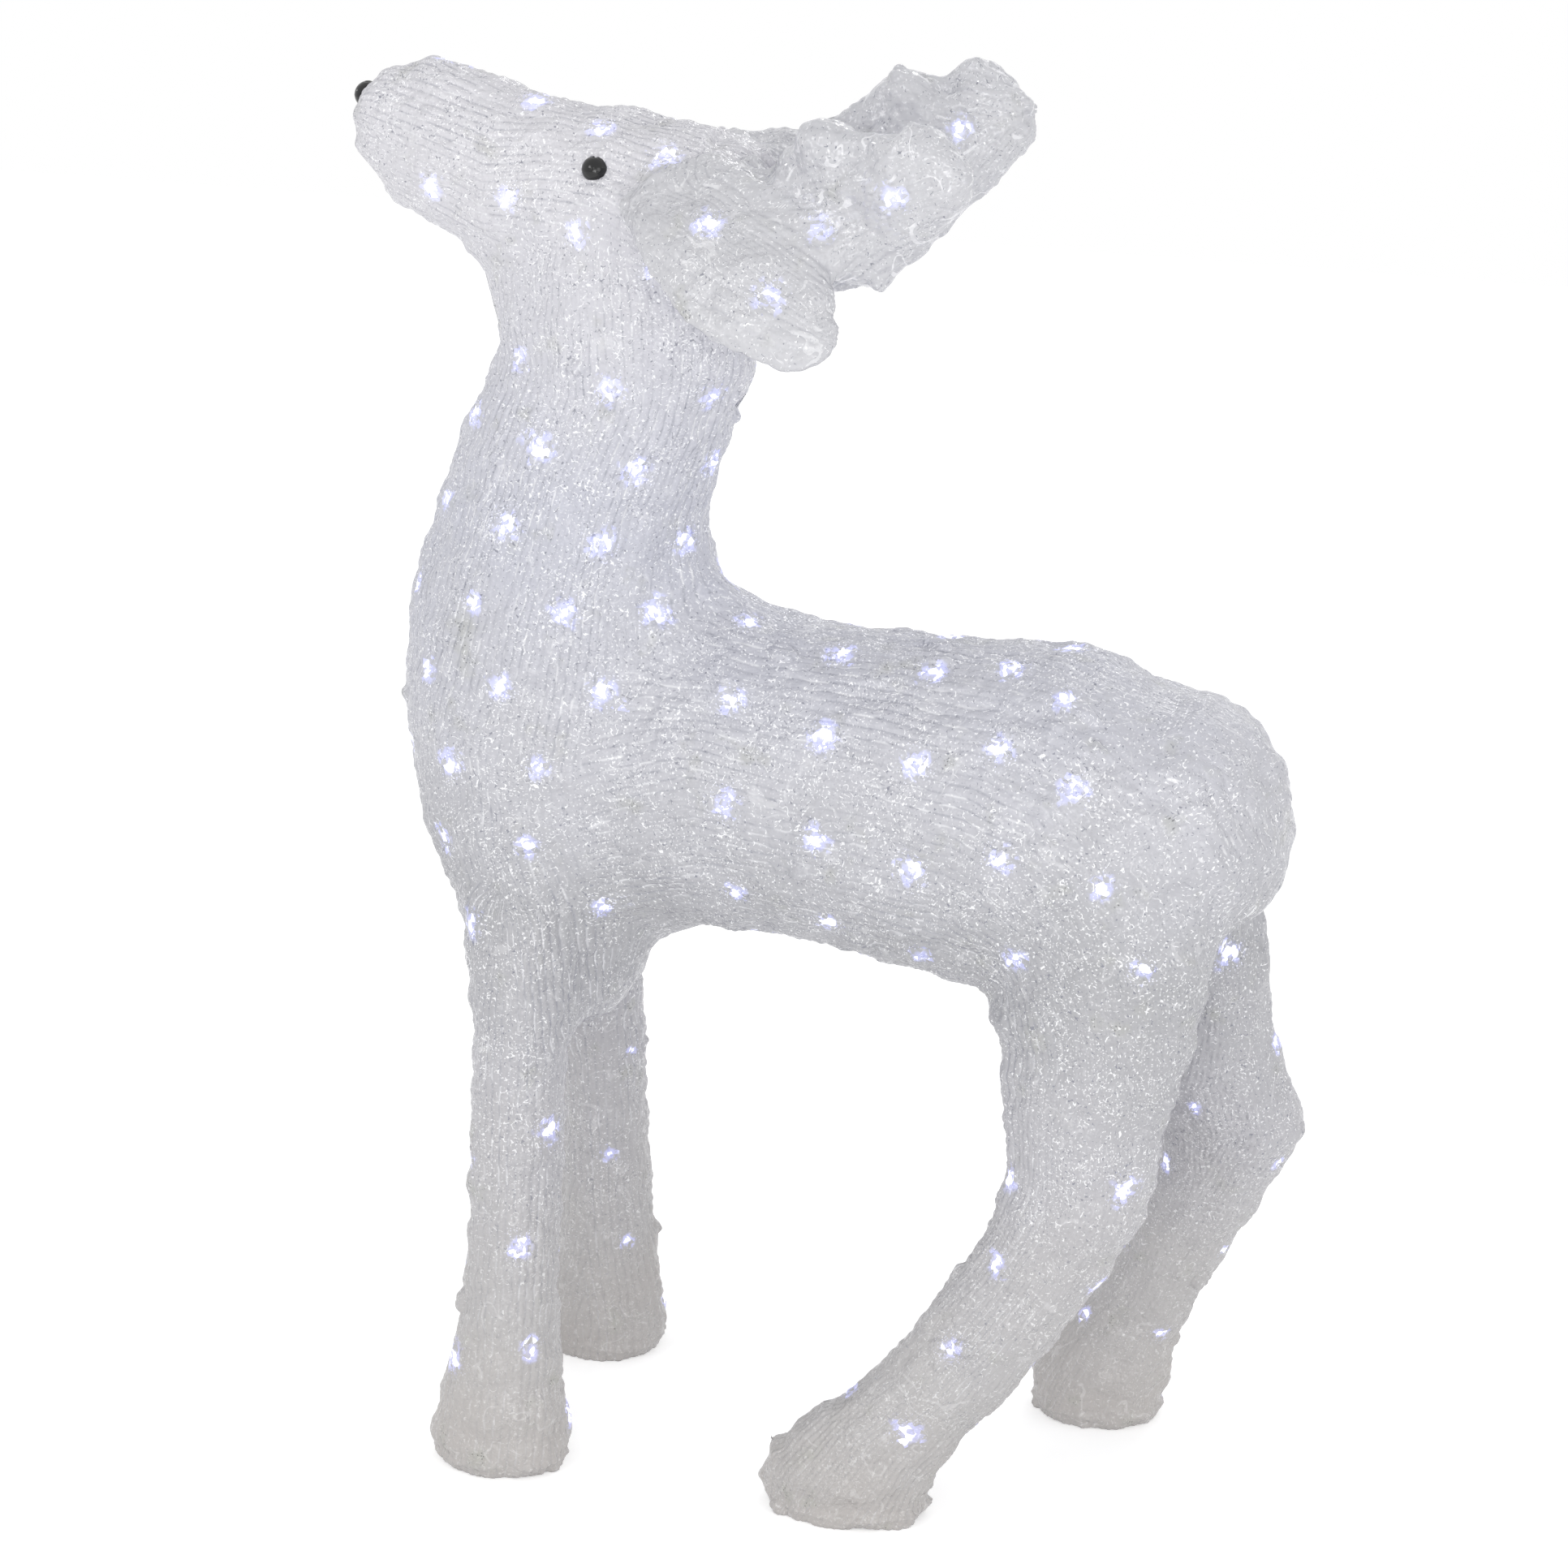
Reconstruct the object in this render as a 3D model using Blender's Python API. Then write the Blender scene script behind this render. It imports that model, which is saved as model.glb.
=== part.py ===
"""Light up yard reindeer: a hollow fawn of spun acrylic strands, lit from inside by LED strings.

The fawn stands on four hooves, faces -X, and its left side is -Y. Sizes are in millimetres and
meshes are made in metres. Each limb is a sweep: one ellipse carried along a few stations. The same
stations, shrunk by WALL, give its hollow, and grown by GAP they cut whatever seats on it. X = 0 of
the sizes lies in front of the belly; the finished fawn is moved to have the origin under its middle.
"""

from math import cos, pi, radians, sin, tau

import bmesh
import bpy
from mathutils import Matrix, Vector
from mathutils.bvhtree import BVHTree

MM = 0.001

# Shell
WALL = 3.0              # thickness of the fused strands
GAP = 0.4               # clearance between pieces that are fused to each other
BEAD = 1.0              # how far the weld round a sole stands proud of the hoof

# Barrel, from the chest back to the rump
BARREL_Z = 345.0        # height of its middle
BARREL_HALF_HEIGHT = 80.0
BARREL_HALF_WIDTH = 73.0
BARREL_FRONT_X = -125.0
RUMP_X = 178.0          # where the round of the rump starts
RUMP_ROUND = 42.0

# Chest and neck, one upright column
CHEST_X = -147.0
CHEST_BOTTOM_Z = 250.0
CHEST_HALF_DEPTH = 76.0
CHEST_HALF_WIDTH = 70.0
CHEST_ROUND = 40.0      # dome between the front legs
JAW_ROUND = 20.0        # dome inside the head
NECK_X = -113.0         # middle of the slim part of the neck, under the jaw
NECK_Z = 540.0
NECK_HALF_DEPTH = 60.0
NECK_HALF_WIDTH = 52.0

# Head, from the muzzle back to the skull
HEAD_Z = 621.0          # middle of the skull
MUZZLE_X = -230.0
MUZZLE_RISE = 36.0      # how far the muzzle's middle lies above the skull's
SKULL_X = -70.0
HEAD_HALF_HEIGHT = 52.0
HEAD_HALF_WIDTH = 45.0
SKULL_ROUND = 38.0
MUZZLE_ROUND = 13.0

# Legs and hooves
STANCE = 73.0           # from the middle plane to the middle of a hoof
ROOT_STANCE = 42.0      # from the middle plane to the middle of a leg's root
LEG_HALF_DEPTH = 22.5   # of the slim part
LEG_HALF_WIDTH = 23.0
HOOF_HALF_LENGTH = 34.5
HOOF_HALF_WIDTH = 28.0
HOOF_HEIGHT = 37.0
FRONT_ROOT_Z = 285.0
HIND_ROOT_Z = 306.0
KNEE_Z = 214.0
HOCK_Z = 174.0
FRONT_HOOF_X = -155.0
FRONT_LEG_X = -148.5
HIND_ROOT_X = 147.0
LEFT_HIND_HOOF_X = 25.0     # the left hind leg steps forward
LEFT_HOCK_X = 136.0
LEFT_KNEE_X = 136.5
LEFT_HOOF_REACH = 1.27      # of the hoof's half length, because this toe is stretched forward
RIGHT_HIND_HOOF_X = 114.0
RIGHT_HOCK_X = 186.6
RIGHT_KNEE_X = 167.0
RIGHT_SHANK_BOW = 6.0
SHOULDER_ROUND = 30.0   # dome of a leg's root, over the chest and over the barrel
THIGH_ROUND = 45.0
SOLE = 5.0              # thickness of a sole plate

# Ears, antlers and tail
EAR_ROOT = Vector((-74.0, -35.0, 648.0))
EAR_TIP = Vector((9.0, -90.0, 592.0))
RIGHT_EAR_RISE = 17.0   # how much higher the tip of the right ear is carried
EAR_HALF_WIDTH = 36.0
EAR_HALF_THICKNESS = 12.0
EAR_BOW = 8.0           # how far its middle bows outward
EAR_ROUND = 14.0
ANTLER_ROOT = Vector((-46.0, -18.0, 634.0))
ANTLER_TIP = Vector((55.0, -50.0, 668.0))
RIGHT_ANTLER_RISE = 8.0   # how much higher the tip of the right antler stands
ANTLER_HALF_DEPTH = 30.0
ANTLER_HALF_WIDTH = 17.5
TINE_SHARE = 0.54       # place of the left tine along its beam
RIGHT_TINE_SHIFT = 0.1  # the right tine stands this much further along
TINE_RADIUS = 17.5
TINE_HEIGHT = 17.0
TINE_ROUND = 14.0
ANTLER_ROUND = 20.0
TAIL_HALF_WIDTH = 13.0
TAIL_LENGTH = 40.0
TAIL_INSET = 5.0        # of its middle line from the end of the rump

# Beads, set in holes in the head
EYE_RADIUS = 6.3
EYE_PLACE = 3.58        # counted in stations of the head
EYE_ANGLE = radians(126)    # from straight down
NOSE_RADIUS = 6.8
NOSE_ANGLE = radians(80)    # from the top of the muzzle's round, down over its end

# Light strings
LED_SIZE = 3.2          # across the bulb and its wire bundle
LED_LENGTH = 6.5        # from the bundle to the tip
LED_TAPER = 0.7         # of the bulb, from its foot to its tip
LED_CLEAR = 0.9         # from the tip to the wall in front of it
LED_PITCH = 46.0        # between bulbs, round a limb
HEAD_CLIMB = 40.0        # how far a string climbs in one turn round the head, and so on
NECK_CLIMB = 39.0
BODY_CLIMB = 46.0
LEG_CLIMB = 51.0
EAR_CLIMB = 52.0
ANTLER_CLIMB = 44.0
LEAD_REACH = {"front": 0.5, "hind": 0.8}    # how far a leg's string runs up its passage
PASSAGE_RADIUS = 7.0    # hole that a string passes from one shell to the next

# Cable outlet in the belly, and the junction box in front of it, both on the flat left of the keel
OUTLET_PLACE = 3.4      # counted in stations of the barrel
OUTLET_RADIUS = 5.0
OUTLET_BORE = 3.2
FLANGE_RADIUS = 8.5
FLANGE_THICKNESS = 2.2
BOX_PLACE = 2.64
BOX_LENGTH = 28.0
BOX_WIDTH = 17.0
BOX_HEIGHT = 13.0

CREASE = radians(40)    # a steeper edge than this is a sharp one
SIDE = Vector((0.0, 1.0, 0.0))
UP = Vector((0.0, 0.0, 1.0))


# ---------------------------------------------------------------- materials

def principled(name, colour, roughness, metallic=0.0, alpha=1.0):
    """Principled material of one plain colour."""
    material = bpy.data.materials.new(name)
    material.use_nodes = True
    shader = material.node_tree.nodes["Principled BSDF"]
    shader.inputs["Base Color"].default_value = (*colour, 1.0)
    shader.inputs["Roughness"].default_value = roughness
    shader.inputs["Metallic"].default_value = metallic
    shader.inputs["Alpha"].default_value = alpha
    material.diffuse_color = (*colour, 1.0)
    material.roughness = roughness
    return material


# ---------------------------------------------------------------- sweeps

def frame_of(x, y, z, place):
    """Matrix with the given axes at the given place."""
    return Matrix([[*row] for row in zip(x, y, z, place)] + [[0, 0, 0, 1]])


class Limb:
    """A sweep of ellipses through stations (x, y, z, half depth, half width)."""

    def __init__(self, stations, side=SIDE, segments=24, rounds=(0.0, 0.0)):
        self.line = [Vector(station) for station in stations]
        self.side = side
        self.segments = segments
        self.rounds = rounds

    def ring(self, place, grow=0.0):
        """Matrix that carries the unit circle to the ring at a place counted in stations."""
        last = len(self.line) - 1
        index = min(int(place), last - 1)
        here = self.line[index].lerp(self.line[index + 1], place - index)
        before = self.line[max(round(place) - 1, 0)]
        after = self.line[min(round(place) + 1, last)]
        along = (Vector(after[:3]) - Vector(before[:3])).normalized()
        across = (self.side - self.side.dot(along) * along).normalized()
        depth = across.cross(along)
        return frame_of(depth * (here[3] + grow), across * (here[4] + grow), along, Vector(here[:3]))

    def skin(self, place, angle, grow=0.0):
        """Frame on the facet at a place and an angle: X along the limb, Z outward."""
        flat = pi / self.segments
        middle = (angle - pi / 2) // (2 * flat) * 2 * flat + flat + pi / 2
        rim = Vector((cos(angle), sin(angle), 0)) * cos(flat) / cos(angle - middle)
        index = min(int(place), len(self.line) - 2)
        low, high = self.ring(index, grow), self.ring(index + 1, grow)
        point = (low @ rim).lerp(high @ rim, place - index)
        along = (high @ rim - low @ rim).normalized()
        facet = low.lerp(high, place - index).to_3x3() @ Vector((-sin(middle), cos(middle), 0))
        out = facet.cross(along).normalized()
        return frame_of(along, out.cross(along), out, point)

    def spacing(self, place):
        """Distance between the two stations on either side of a place."""
        index = min(int(place), len(self.line) - 2)
        return (Vector(self.line[index + 1][:3]) - Vector(self.line[index][:3])).length

    def centre(self, index):
        """Middle of one station."""
        return Vector(self.line[index][:3])

    def rings(self, grow):
        """All ring matrices, with the rounded ends."""
        last = len(self.line) - 1
        body = [self.ring(place, grow) for place in range(last + 1)]
        start = self.end(body[0], -1, self.rounds[0], grow)
        return start[::-1] + body + self.end(body[-1], 1, self.rounds[1], grow)

    @staticmethod
    def end(ring, way, length, grow):
        """Rings beyond the first (way -1) or last (way 1) one: a rounded end, or a flat one's overlap."""
        if not length:
            return [ring @ Matrix.Translation((0, 0, way * abs(grow)))] if grow else []
        result = []
        for angle in (28, 55, 80):
            size = cos(radians(angle))
            shift = Matrix.Translation((0, 0, way * (length + grow) * sin(radians(angle))))
            result.append(ring @ shift @ Matrix.Diagonal((size, size, 1, 1)))
        return result

    def mesh(self, grow=0.0):
        """Closed bmesh of the sweep, each half size grown by the given amount."""
        bm = bmesh.new()
        rings = self.rings(grow)
        made = bmesh.ops.create_circle(bm, cap_ends=False, radius=1, segments=self.segments,
                                       matrix=rings[0])
        edges = list({e for v in made["verts"] for e in v.link_edges})
        ends = [edges]
        for before, after in zip(rings, rings[1:]):
            grown = bmesh.ops.extrude_edge_only(bm, edges=edges)["geom"]
            verts = [g for g in grown if isinstance(g, bmesh.types.BMVert)]
            edges = [g for g in grown if isinstance(g, bmesh.types.BMEdge)]
            bmesh.ops.transform(bm, matrix=after @ before.inverted(), verts=verts)
        ends.append(edges)
        for loop in ends:
            bmesh.ops.edgeloop_fill(bm, edges=loop)
        bmesh.ops.recalc_face_normals(bm, faces=bm.faces)
        bmesh.ops.scale(bm, vec=(MM, MM, MM), verts=bm.verts)
        return bm


# ---------------------------------------------------------------- objects and cuts

def add_object(name, bm, material):
    """Linked object that holds a bmesh."""
    data = bpy.data.meshes.new(name)
    bm.to_mesh(data)
    bm.free()
    data.shade_smooth()
    data.set_sharp_from_angle(angle=CREASE)
    if material:
        data.materials.append(material)
    result = bpy.data.objects.new(name, data)
    bpy.context.scene.collection.objects.link(result)
    return result


def cutter(name, bm):
    """Object that is only used to cut others."""
    result = add_object(name, bm, None)
    result.display_type = "WIRE"
    result.hide_render = True
    return result


def boolean(target, tool, operation="DIFFERENCE"):
    """Add one Boolean to the target's stack."""
    modifier = target.modifiers.new(operation.title(), "BOOLEAN")
    modifier.operation = operation
    modifier.object = tool


def box(low, high):
    """Closed bmesh box between two corners."""
    bm = bmesh.new()
    size = Vector(high) - Vector(low)
    middle = (Vector(high) + Vector(low)) / 2
    bmesh.ops.create_cube(bm, size=1, matrix=Matrix.Translation(middle) @ Matrix.Diagonal((*size, 1)))
    bmesh.ops.scale(bm, vec=(MM, MM, MM), verts=bm.verts)
    return bm


def rod(start, end, radius):
    """Closed bmesh cylinder between two points."""
    bm = bmesh.new()
    way = end - start
    turn = way.to_track_quat("Z", "Y").to_matrix().to_4x4()
    bmesh.ops.create_cone(bm, cap_ends=True, segments=10, radius1=radius, radius2=radius,
                          depth=way.length, matrix=Matrix.Translation((start + end) / 2) @ turn)
    bmesh.ops.scale(bm, vec=(MM, MM, MM), verts=bm.verts)
    return bm


def turned(profile, segments):
    """Closed bmesh of revolution about Z of the closed outline through (radius, height) points."""
    bm = bmesh.new()
    verts = [bm.verts.new((r, 0, z)) for r, z in profile]
    edges = [bm.edges.new(pair) for pair in zip(verts, verts[1:] + verts[:1])]
    bmesh.ops.spin(bm, geom=verts + edges, cent=(0, 0, 0), axis=(0, 0, 1), angle=tau,
                   steps=segments, use_merge=True)
    bmesh.ops.remove_doubles(bm, verts=bm.verts, dist=1e-5)
    bmesh.ops.recalc_face_normals(bm, faces=bm.faces)
    bmesh.ops.scale(bm, vec=(MM, MM, MM), verts=bm.verts)
    return bm


# ---------------------------------------------------------------- limbs

def barrel():
    """Body from the chest back to the rump."""
    high, wide = BARREL_HALF_HEIGHT, BARREL_HALF_WIDTH
    span = RUMP_X - BARREL_FRONT_X
    shares = ((0.0, 0.07, 0.92, 0.86), (0.2, 0.09, 1.0, 0.95), (0.41, 0.04, 0.98, 0.99),
              (0.62, -0.03, 1.05, 1.02), (0.8, -0.09, 1.12, 1.04), (0.91, 0.0, 1.03, 1.0),
              (1.0, 0.12, 0.74, 0.89))
    stations = [(BARREL_FRONT_X + share * span, 0, BARREL_Z + rise * high, h * high, w * wide)
                for share, rise, h, w in shares]
    return Limb(stations, rounds=(0, RUMP_ROUND))


def column():
    """Chest and neck, from between the front legs up into the head."""
    deep, wide = CHEST_HALF_DEPTH, CHEST_HALF_WIDTH
    slim, thin = NECK_HALF_DEPTH, NECK_HALF_WIDTH
    bottom, jaw = CHEST_BOTTOM_Z, NECK_Z
    span = jaw - bottom
    stations = [
        (CHEST_X + 0.05 * deep, 0, bottom, 0.54 * deep, 0.78 * wide),
        (CHEST_X + 0.04 * deep, 0, bottom + 0.12 * span, 0.72 * deep, 0.92 * wide),
        (CHEST_X + 0.01 * deep, 0, bottom + 0.26 * span, 0.9 * deep, wide),
        (CHEST_X, 0, bottom + 0.42 * span, 0.99 * deep, 1.01 * wide),
        (CHEST_X + 0.04 * deep, 0, bottom + 0.6 * span, 0.99 * deep, 0.94 * wide),
        (CHEST_X + 0.1 * deep, 0, bottom + 0.73 * span, 0.88 * deep, 0.84 * wide),
        ((CHEST_X + NECK_X) / 2, 0, bottom + 0.86 * span, 1.05 * slim, 1.04 * thin),
        (NECK_X - 0.03 * slim, 0, jaw, slim, thin),
        (NECK_X + 0.08 * slim, 0, jaw + 0.5 * slim, 1.1 * slim, thin),
        (NECK_X + 0.25 * slim, 0, jaw + 0.97 * slim, slim, 0.96 * thin),
    ]
    return Limb(stations, rounds=(CHEST_ROUND, JAW_ROUND))


def head():
    """Muzzle, jaw and skull."""
    high, wide = HEAD_HALF_HEIGHT, HEAD_HALF_WIDTH
    span = SKULL_X - MUZZLE_X
    shares = ((0.0, 1.18, 0.5, 0.47), (0.14, 0.94, 0.73, 0.63), (0.36, 0.54, 0.79, 0.74),
              (0.57, 0.21, 0.9, 0.88), (0.79, 0.0, 0.97, 1.0), (1.0, -0.12, 0.98, 0.98))
    stations = [(MUZZLE_X + share * span, 0, HEAD_Z + rise * MUZZLE_RISE, h * high, w * wide)
                for share, rise, h, w in shares]
    return Limb(stations, segments=16, rounds=(MUZZLE_ROUND, SKULL_ROUND))


def hoof(x, side, reach=1.0, lean=0.0):
    """Stations of a hoof, from below the ground up to the pastern, which leans back over the sole."""
    y = side * STANCE
    long, wide, high = HOOF_HALF_LENGTH, HOOF_HALF_WIDTH, HOOF_HEIGHT
    return [(x, y, -0.1 * high, 0.86 * reach * long, 0.92 * wide),
            (x, y, 0.4 * high, 1.03 * reach * long, 1.02 * wide),
            (x + 0.05 * long + lean, y, high, 0.9 * long, 0.97 * wide)]


def front_leg(side):
    """Front leg of the side -1 (left) or 1 (right), from the sole up into the chest."""
    deep, wide = LEG_HALF_DEPTH, LEG_HALF_WIDTH
    x, high = FRONT_LEG_X, FRONT_ROOT_Z
    spread = STANCE - ROOT_STANCE
    stations = hoof(FRONT_HOOF_X, side) + [
        (x - 0.09 * deep, side * (STANCE - 0.08 * spread), 0.25 * high, 1.1 * deep, 1.08 * wide),
        (x - 0.04 * deep, side * (STANCE - 0.18 * spread), 0.39 * high, 1.01 * deep, wide),
        (x, side * (STANCE - 0.36 * spread), 0.56 * high, deep, wide),
        (x, side * (STANCE - 0.6 * spread), 0.73 * high, 1.04 * deep, 1.1 * wide),
        (x, side * (STANCE - 0.82 * spread), 0.87 * high, 1.2 * deep, 1.3 * wide),
        (x, side * ROOT_STANCE, high, 1.4 * deep, 1.4 * wide),
    ]
    return Limb(stations, segments=12, rounds=(0, SHOULDER_ROUND))


def hind_leg(side, hoof_x, hock_x, knee_x, bow=0.0, reach=1.0):
    """Hind leg from the sole up into the barrel; hock_x and knee_x place its middle there.

    The shank bows forward, and reach is the hoof's length over that of the other hooves.
    """
    deep, wide = LEG_HALF_DEPTH, LEG_HALF_WIDTH
    root = HIND_ROOT_X
    shin = hock_x - hoof_x
    spread = STANCE - ROOT_STANCE
    stations = hoof(hoof_x, side, reach, 0.15 * shin - bow / 2) + [
        (hoof_x + 0.36 * shin - bow / 2, side * (STANCE - 0.1 * spread), 0.36 * HOCK_Z,
         (0.33 + 0.69 * reach) * deep, 1.05 * wide),
        (hoof_x + 0.6 * shin - bow, side * (STANCE - 0.22 * spread), 0.56 * HOCK_Z,
         (0.56 + 0.59 * reach) * deep, wide),
        (hoof_x + 0.84 * shin - bow, side * (STANCE - 0.4 * spread), 0.78 * HOCK_Z, 1.31 * deep, 1.08 * wide),
        (hock_x, side * (STANCE - 0.58 * spread), HOCK_Z, 1.6 * deep, 1.2 * wide),
        (knee_x, side * (STANCE - 0.8 * spread), KNEE_Z, 1.84 * deep, 1.4 * wide),
        ((knee_x + root) / 2, side * ROOT_STANCE, (KNEE_Z + HIND_ROOT_Z) / 2, 2.15 * deep, 1.55 * wide),
        (root, side * ROOT_STANCE, HIND_ROOT_Z, 2.3 * deep, 1.5 * wide),
    ]
    return Limb(stations, segments=12, rounds=(0, THIGH_ROUND))


def ear(side):
    """Leaf-shaped ear laid back beside the neck."""
    flip = Vector((1, -side, 1))
    root, tip = EAR_ROOT * flip, EAR_TIP * flip
    if side > 0:
        tip.z += RIGHT_EAR_RISE
    bend = Vector((0, side, 0.25)) * EAR_BOW
    wide, thick = EAR_HALF_WIDTH, EAR_HALF_THICKNESS
    shares = ((0.0, 0.0, 0.7, 0.8), (0.3, 0.9, 0.96, 1.0), (0.6, 1.0, 1.0, 1.0), (0.85, 0.5, 0.8, 0.85),
              (1.0, 0.0, 0.52, 0.6))
    stations = [(*(root.lerp(tip, share) + bow * bend), w * wide, t * thick) for share, bow, w, t in shares]
    return Limb(stations, side=Vector((0.3, side * 0.8, 0.5)), segments=12, rounds=(0, EAR_ROUND))


def antler_ends(side):
    """Root and tip of the middle line of an antler's beam."""
    flip = Vector((1, -side, 1))
    root, tip = ANTLER_ROOT * flip, ANTLER_TIP * flip
    if side > 0:
        tip.z += RIGHT_ANTLER_RISE
    return root, tip


def antler_beam(side):
    """Beam of an antler, swept back from the crown."""
    root, tip = antler_ends(side)
    deep, wide = ANTLER_HALF_DEPTH, ANTLER_HALF_WIDTH
    shares = ((0.0, 0.27, 0.85, 1.0), (0.33, 0.48, 1.25, 1.05), (0.66, 0.63, 1.1, 1.0),
              (1.0, 0.07, 0.92, 0.9))
    stations = [(*(root.lerp(tip, share) - UP * sag * deep), d * deep, w * wide)
                for share, sag, d, w in shares]
    return Limb(stations, segments=12, rounds=(0, ANTLER_ROUND))


def antler_tine(side):
    """Blunt tine that rises from the middle of the beam."""
    root, tip = antler_ends(side)
    foot = root.lerp(tip, TINE_SHARE + (RIGHT_TINE_SHIFT if side > 0 else 0))
    top = foot + Vector((-0.1, side * 0.1, 1)) * TINE_HEIGHT
    radius = TINE_RADIUS
    stations = [(*foot, 1.1 * radius, radius), (*top, radius, 0.9 * radius)]
    return Limb(stations, segments=8, rounds=(0, TINE_ROUND))


def tail():
    """Short tail that lies against the rump."""
    x = RUMP_X + RUMP_ROUND - TAIL_INSET
    z = BARREL_Z + 0.12 * BARREL_HALF_HEIGHT
    wide, long = TAIL_HALF_WIDTH, TAIL_LENGTH
    stations = [(x - 0.4 * long, 0, z + 0.95 * long, 0.6 * wide, 0.9 * wide),
                (x - 0.1 * long, 0, z + 0.55 * long, 0.62 * wide, wide),
                (x + 0.05 * long, 0, z, 0.5 * wide, 0.8 * wide)]
    return Limb(stations, segments=8, rounds=(0.5 * wide, 0.7 * wide))


# ---------------------------------------------------------------- light strings

def walls_of(*names):
    """BVH of the cut shells, in millimetres, for finding the wall in front of a bulb."""
    graph = bpy.context.evaluated_depsgraph_get()
    bm = bmesh.new()
    for name in names:
        bm.from_mesh(bpy.data.objects[name].evaluated_get(graph).to_mesh())
    bmesh.ops.scale(bm, vec=(1 / MM, 1 / MM, 1 / MM), verts=bm.verts)
    tree = BVHTree.FromBMesh(bm)
    bm.free()
    return tree


def helix(limb, walls, first, last, pitch, climb, phase=0.0):
    """Bulb seats (tip, outward normal) on a helix inside a limb, between two places.

    The bulbs are one pitch apart round the limb, or face its two flat sides in turn if the pitch is
    None, and the helix climbs so far in each turn. A seat is left out where no wall stands in front
    of it, as at the opening to the next shell.
    """
    seats = []
    place, angle = first, phase
    while place <= last:
        ring = limb.ring(place, -WALL)
        middle = ring.translation
        way = ring @ Vector((cos(angle), sin(angle), 0)) - middle
        hit, normal, _, distance = walls.ray_cast(middle, way.normalized())
        if hit and 0.85 < distance / way.length < 1.25:
            normal = normal if normal.dot(way) > 0 else -normal
            seats.append((hit - LED_CLEAR * normal, normal))
        half_sizes = limb.line[int(place)][3:]
        turn = pitch / (sum(half_sizes) / 2 - WALL) if pitch else pi
        angle += turn
        place += climb * turn / tau / limb.spacing(place)
    return seats


def string(name, seats, material, lead=()):
    """One light string: a square wire bundle with a tapered bulb at each seat, then a bare lead."""
    half = LED_SIZE / 2
    stops = [(tip - LED_LENGTH * normal, normal) for tip, normal in seats]
    stops += [(point, None) for point in lead]
    frames = []
    up = UP
    for index, (point, normal) in enumerate(stops):
        before = stops[max(index - 1, 0)][0]
        after = stops[min(index + 1, len(stops) - 1)][0]
        along = after - before
        if normal:
            along = (along - along.dot(normal) * normal).normalized()
            flank = normal.cross(along)
            up = max((normal, -normal, flank, -flank), key=up.dot)
        else:
            along.normalize()
            up = (up - up.project(along)).normalized()
        for step in (-half, half) if normal else (0,):
            spot = point + step * along
            frames.append((frame_of(up.cross(along) * half, up * half, along, spot), index, normal))
    bm = bmesh.new()
    square = frames[0][0] @ Matrix.Rotation(pi / 4, 4, "Z")
    made = bmesh.ops.create_circle(bm, cap_ends=False, radius=2 ** 0.5, segments=4, matrix=square)
    edges = list({e for v in made["verts"] for e in v.link_edges})
    first_ring, bulbs = edges, []
    for index in range(1, len(frames)):
        before, after = frames[index - 1], frames[index]
        grown = bmesh.ops.extrude_edge_only(bm, edges=edges)["geom"]
        verts = [g for g in grown if isinstance(g, bmesh.types.BMVert)]
        edges = [g for g in grown if isinstance(g, bmesh.types.BMEdge)]
        bmesh.ops.transform(bm, matrix=after[0] @ before[0].inverted(), verts=verts)
        if before[1] == after[1]:
            faces = [g for g in grown if isinstance(g, bmesh.types.BMFace)]
            middle, out = (before[0].translation + after[0].translation) / 2, after[2]
            bulbs.append((max(faces, key=lambda f: (f.calc_center_median() - middle).dot(out)), out))
    for loop in (first_ring, edges):
        bmesh.ops.edgeloop_fill(bm, edges=loop)
    for face, out in bulbs:
        tip = bmesh.ops.extrude_discrete_faces(bm, faces=[face])["faces"][0]
        middle = Matrix.Translation(-tip.calc_center_median())
        bmesh.ops.scale(bm, vec=[LED_TAPER] * 3, space=middle, verts=tip.verts)
        bmesh.ops.translate(bm, vec=out * (LED_LENGTH - half), verts=tip.verts)
    bmesh.ops.recalc_face_normals(bm, faces=bm.faces)
    bmesh.ops.scale(bm, vec=(MM, MM, MM), verts=bm.verts)
    return add_object(name, bm, material)


# ---------------------------------------------------------------- shells

BIG = 900.0             # reaches past the whole fawn
HOLE_REACH = 3 * WALL   # of a hole's cutter, from the skin both ways
SIDES = (("left", -1), ("right", 1))


def half(limb, side):
    """Closed bmesh of the part of a limb on one side of the middle plane, half a GAP away from it."""
    bm = limb.mesh()
    plane = Vector((0, side * GAP / 2 * MM, 0))
    cut = bmesh.ops.bisect_plane(bm, geom=bm.verts[:] + bm.edges[:] + bm.faces[:], dist=1e-7,
                                 plane_co=plane, plane_no=(0, -side, 0), clear_outer=True)["geom_cut"]
    bmesh.ops.edgeloop_fill(bm, edges=[g for g in cut if isinstance(g, bmesh.types.BMEdge)])
    bmesh.ops.recalc_face_normals(bm, faces=bm.faces)
    return bm


def halves(name, limb, cutters, material):
    """Left and right half shells of a limb, with every cutter taken away."""
    for word, side in SIDES:
        shell = add_object(f"{name}_{word}", half(limb, side), material)
        for tool in cutters:
            boolean(shell, tool)


def passage(name, limb, first, last):
    """Round hole along a limb's root, for its string."""
    return cutter(name, rod(limb.centre(first), limb.centre(last), PASSAGE_RADIUS))


def placed(name, bm, frame, material):
    """Object whose bmesh, made about the origin, is carried to a frame given in millimetres."""
    shift = Matrix.Translation(frame.translation * (MM - 1))
    bmesh.ops.transform(bm, matrix=shift @ frame, verts=bm.verts)
    return add_object(name, bm, material)


def bead():
    """Glossy ball of radius 1."""
    bm = bmesh.new()
    bmesh.ops.create_uvsphere(bm, u_segments=12, v_segments=7, radius=MM)
    return bm


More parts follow.
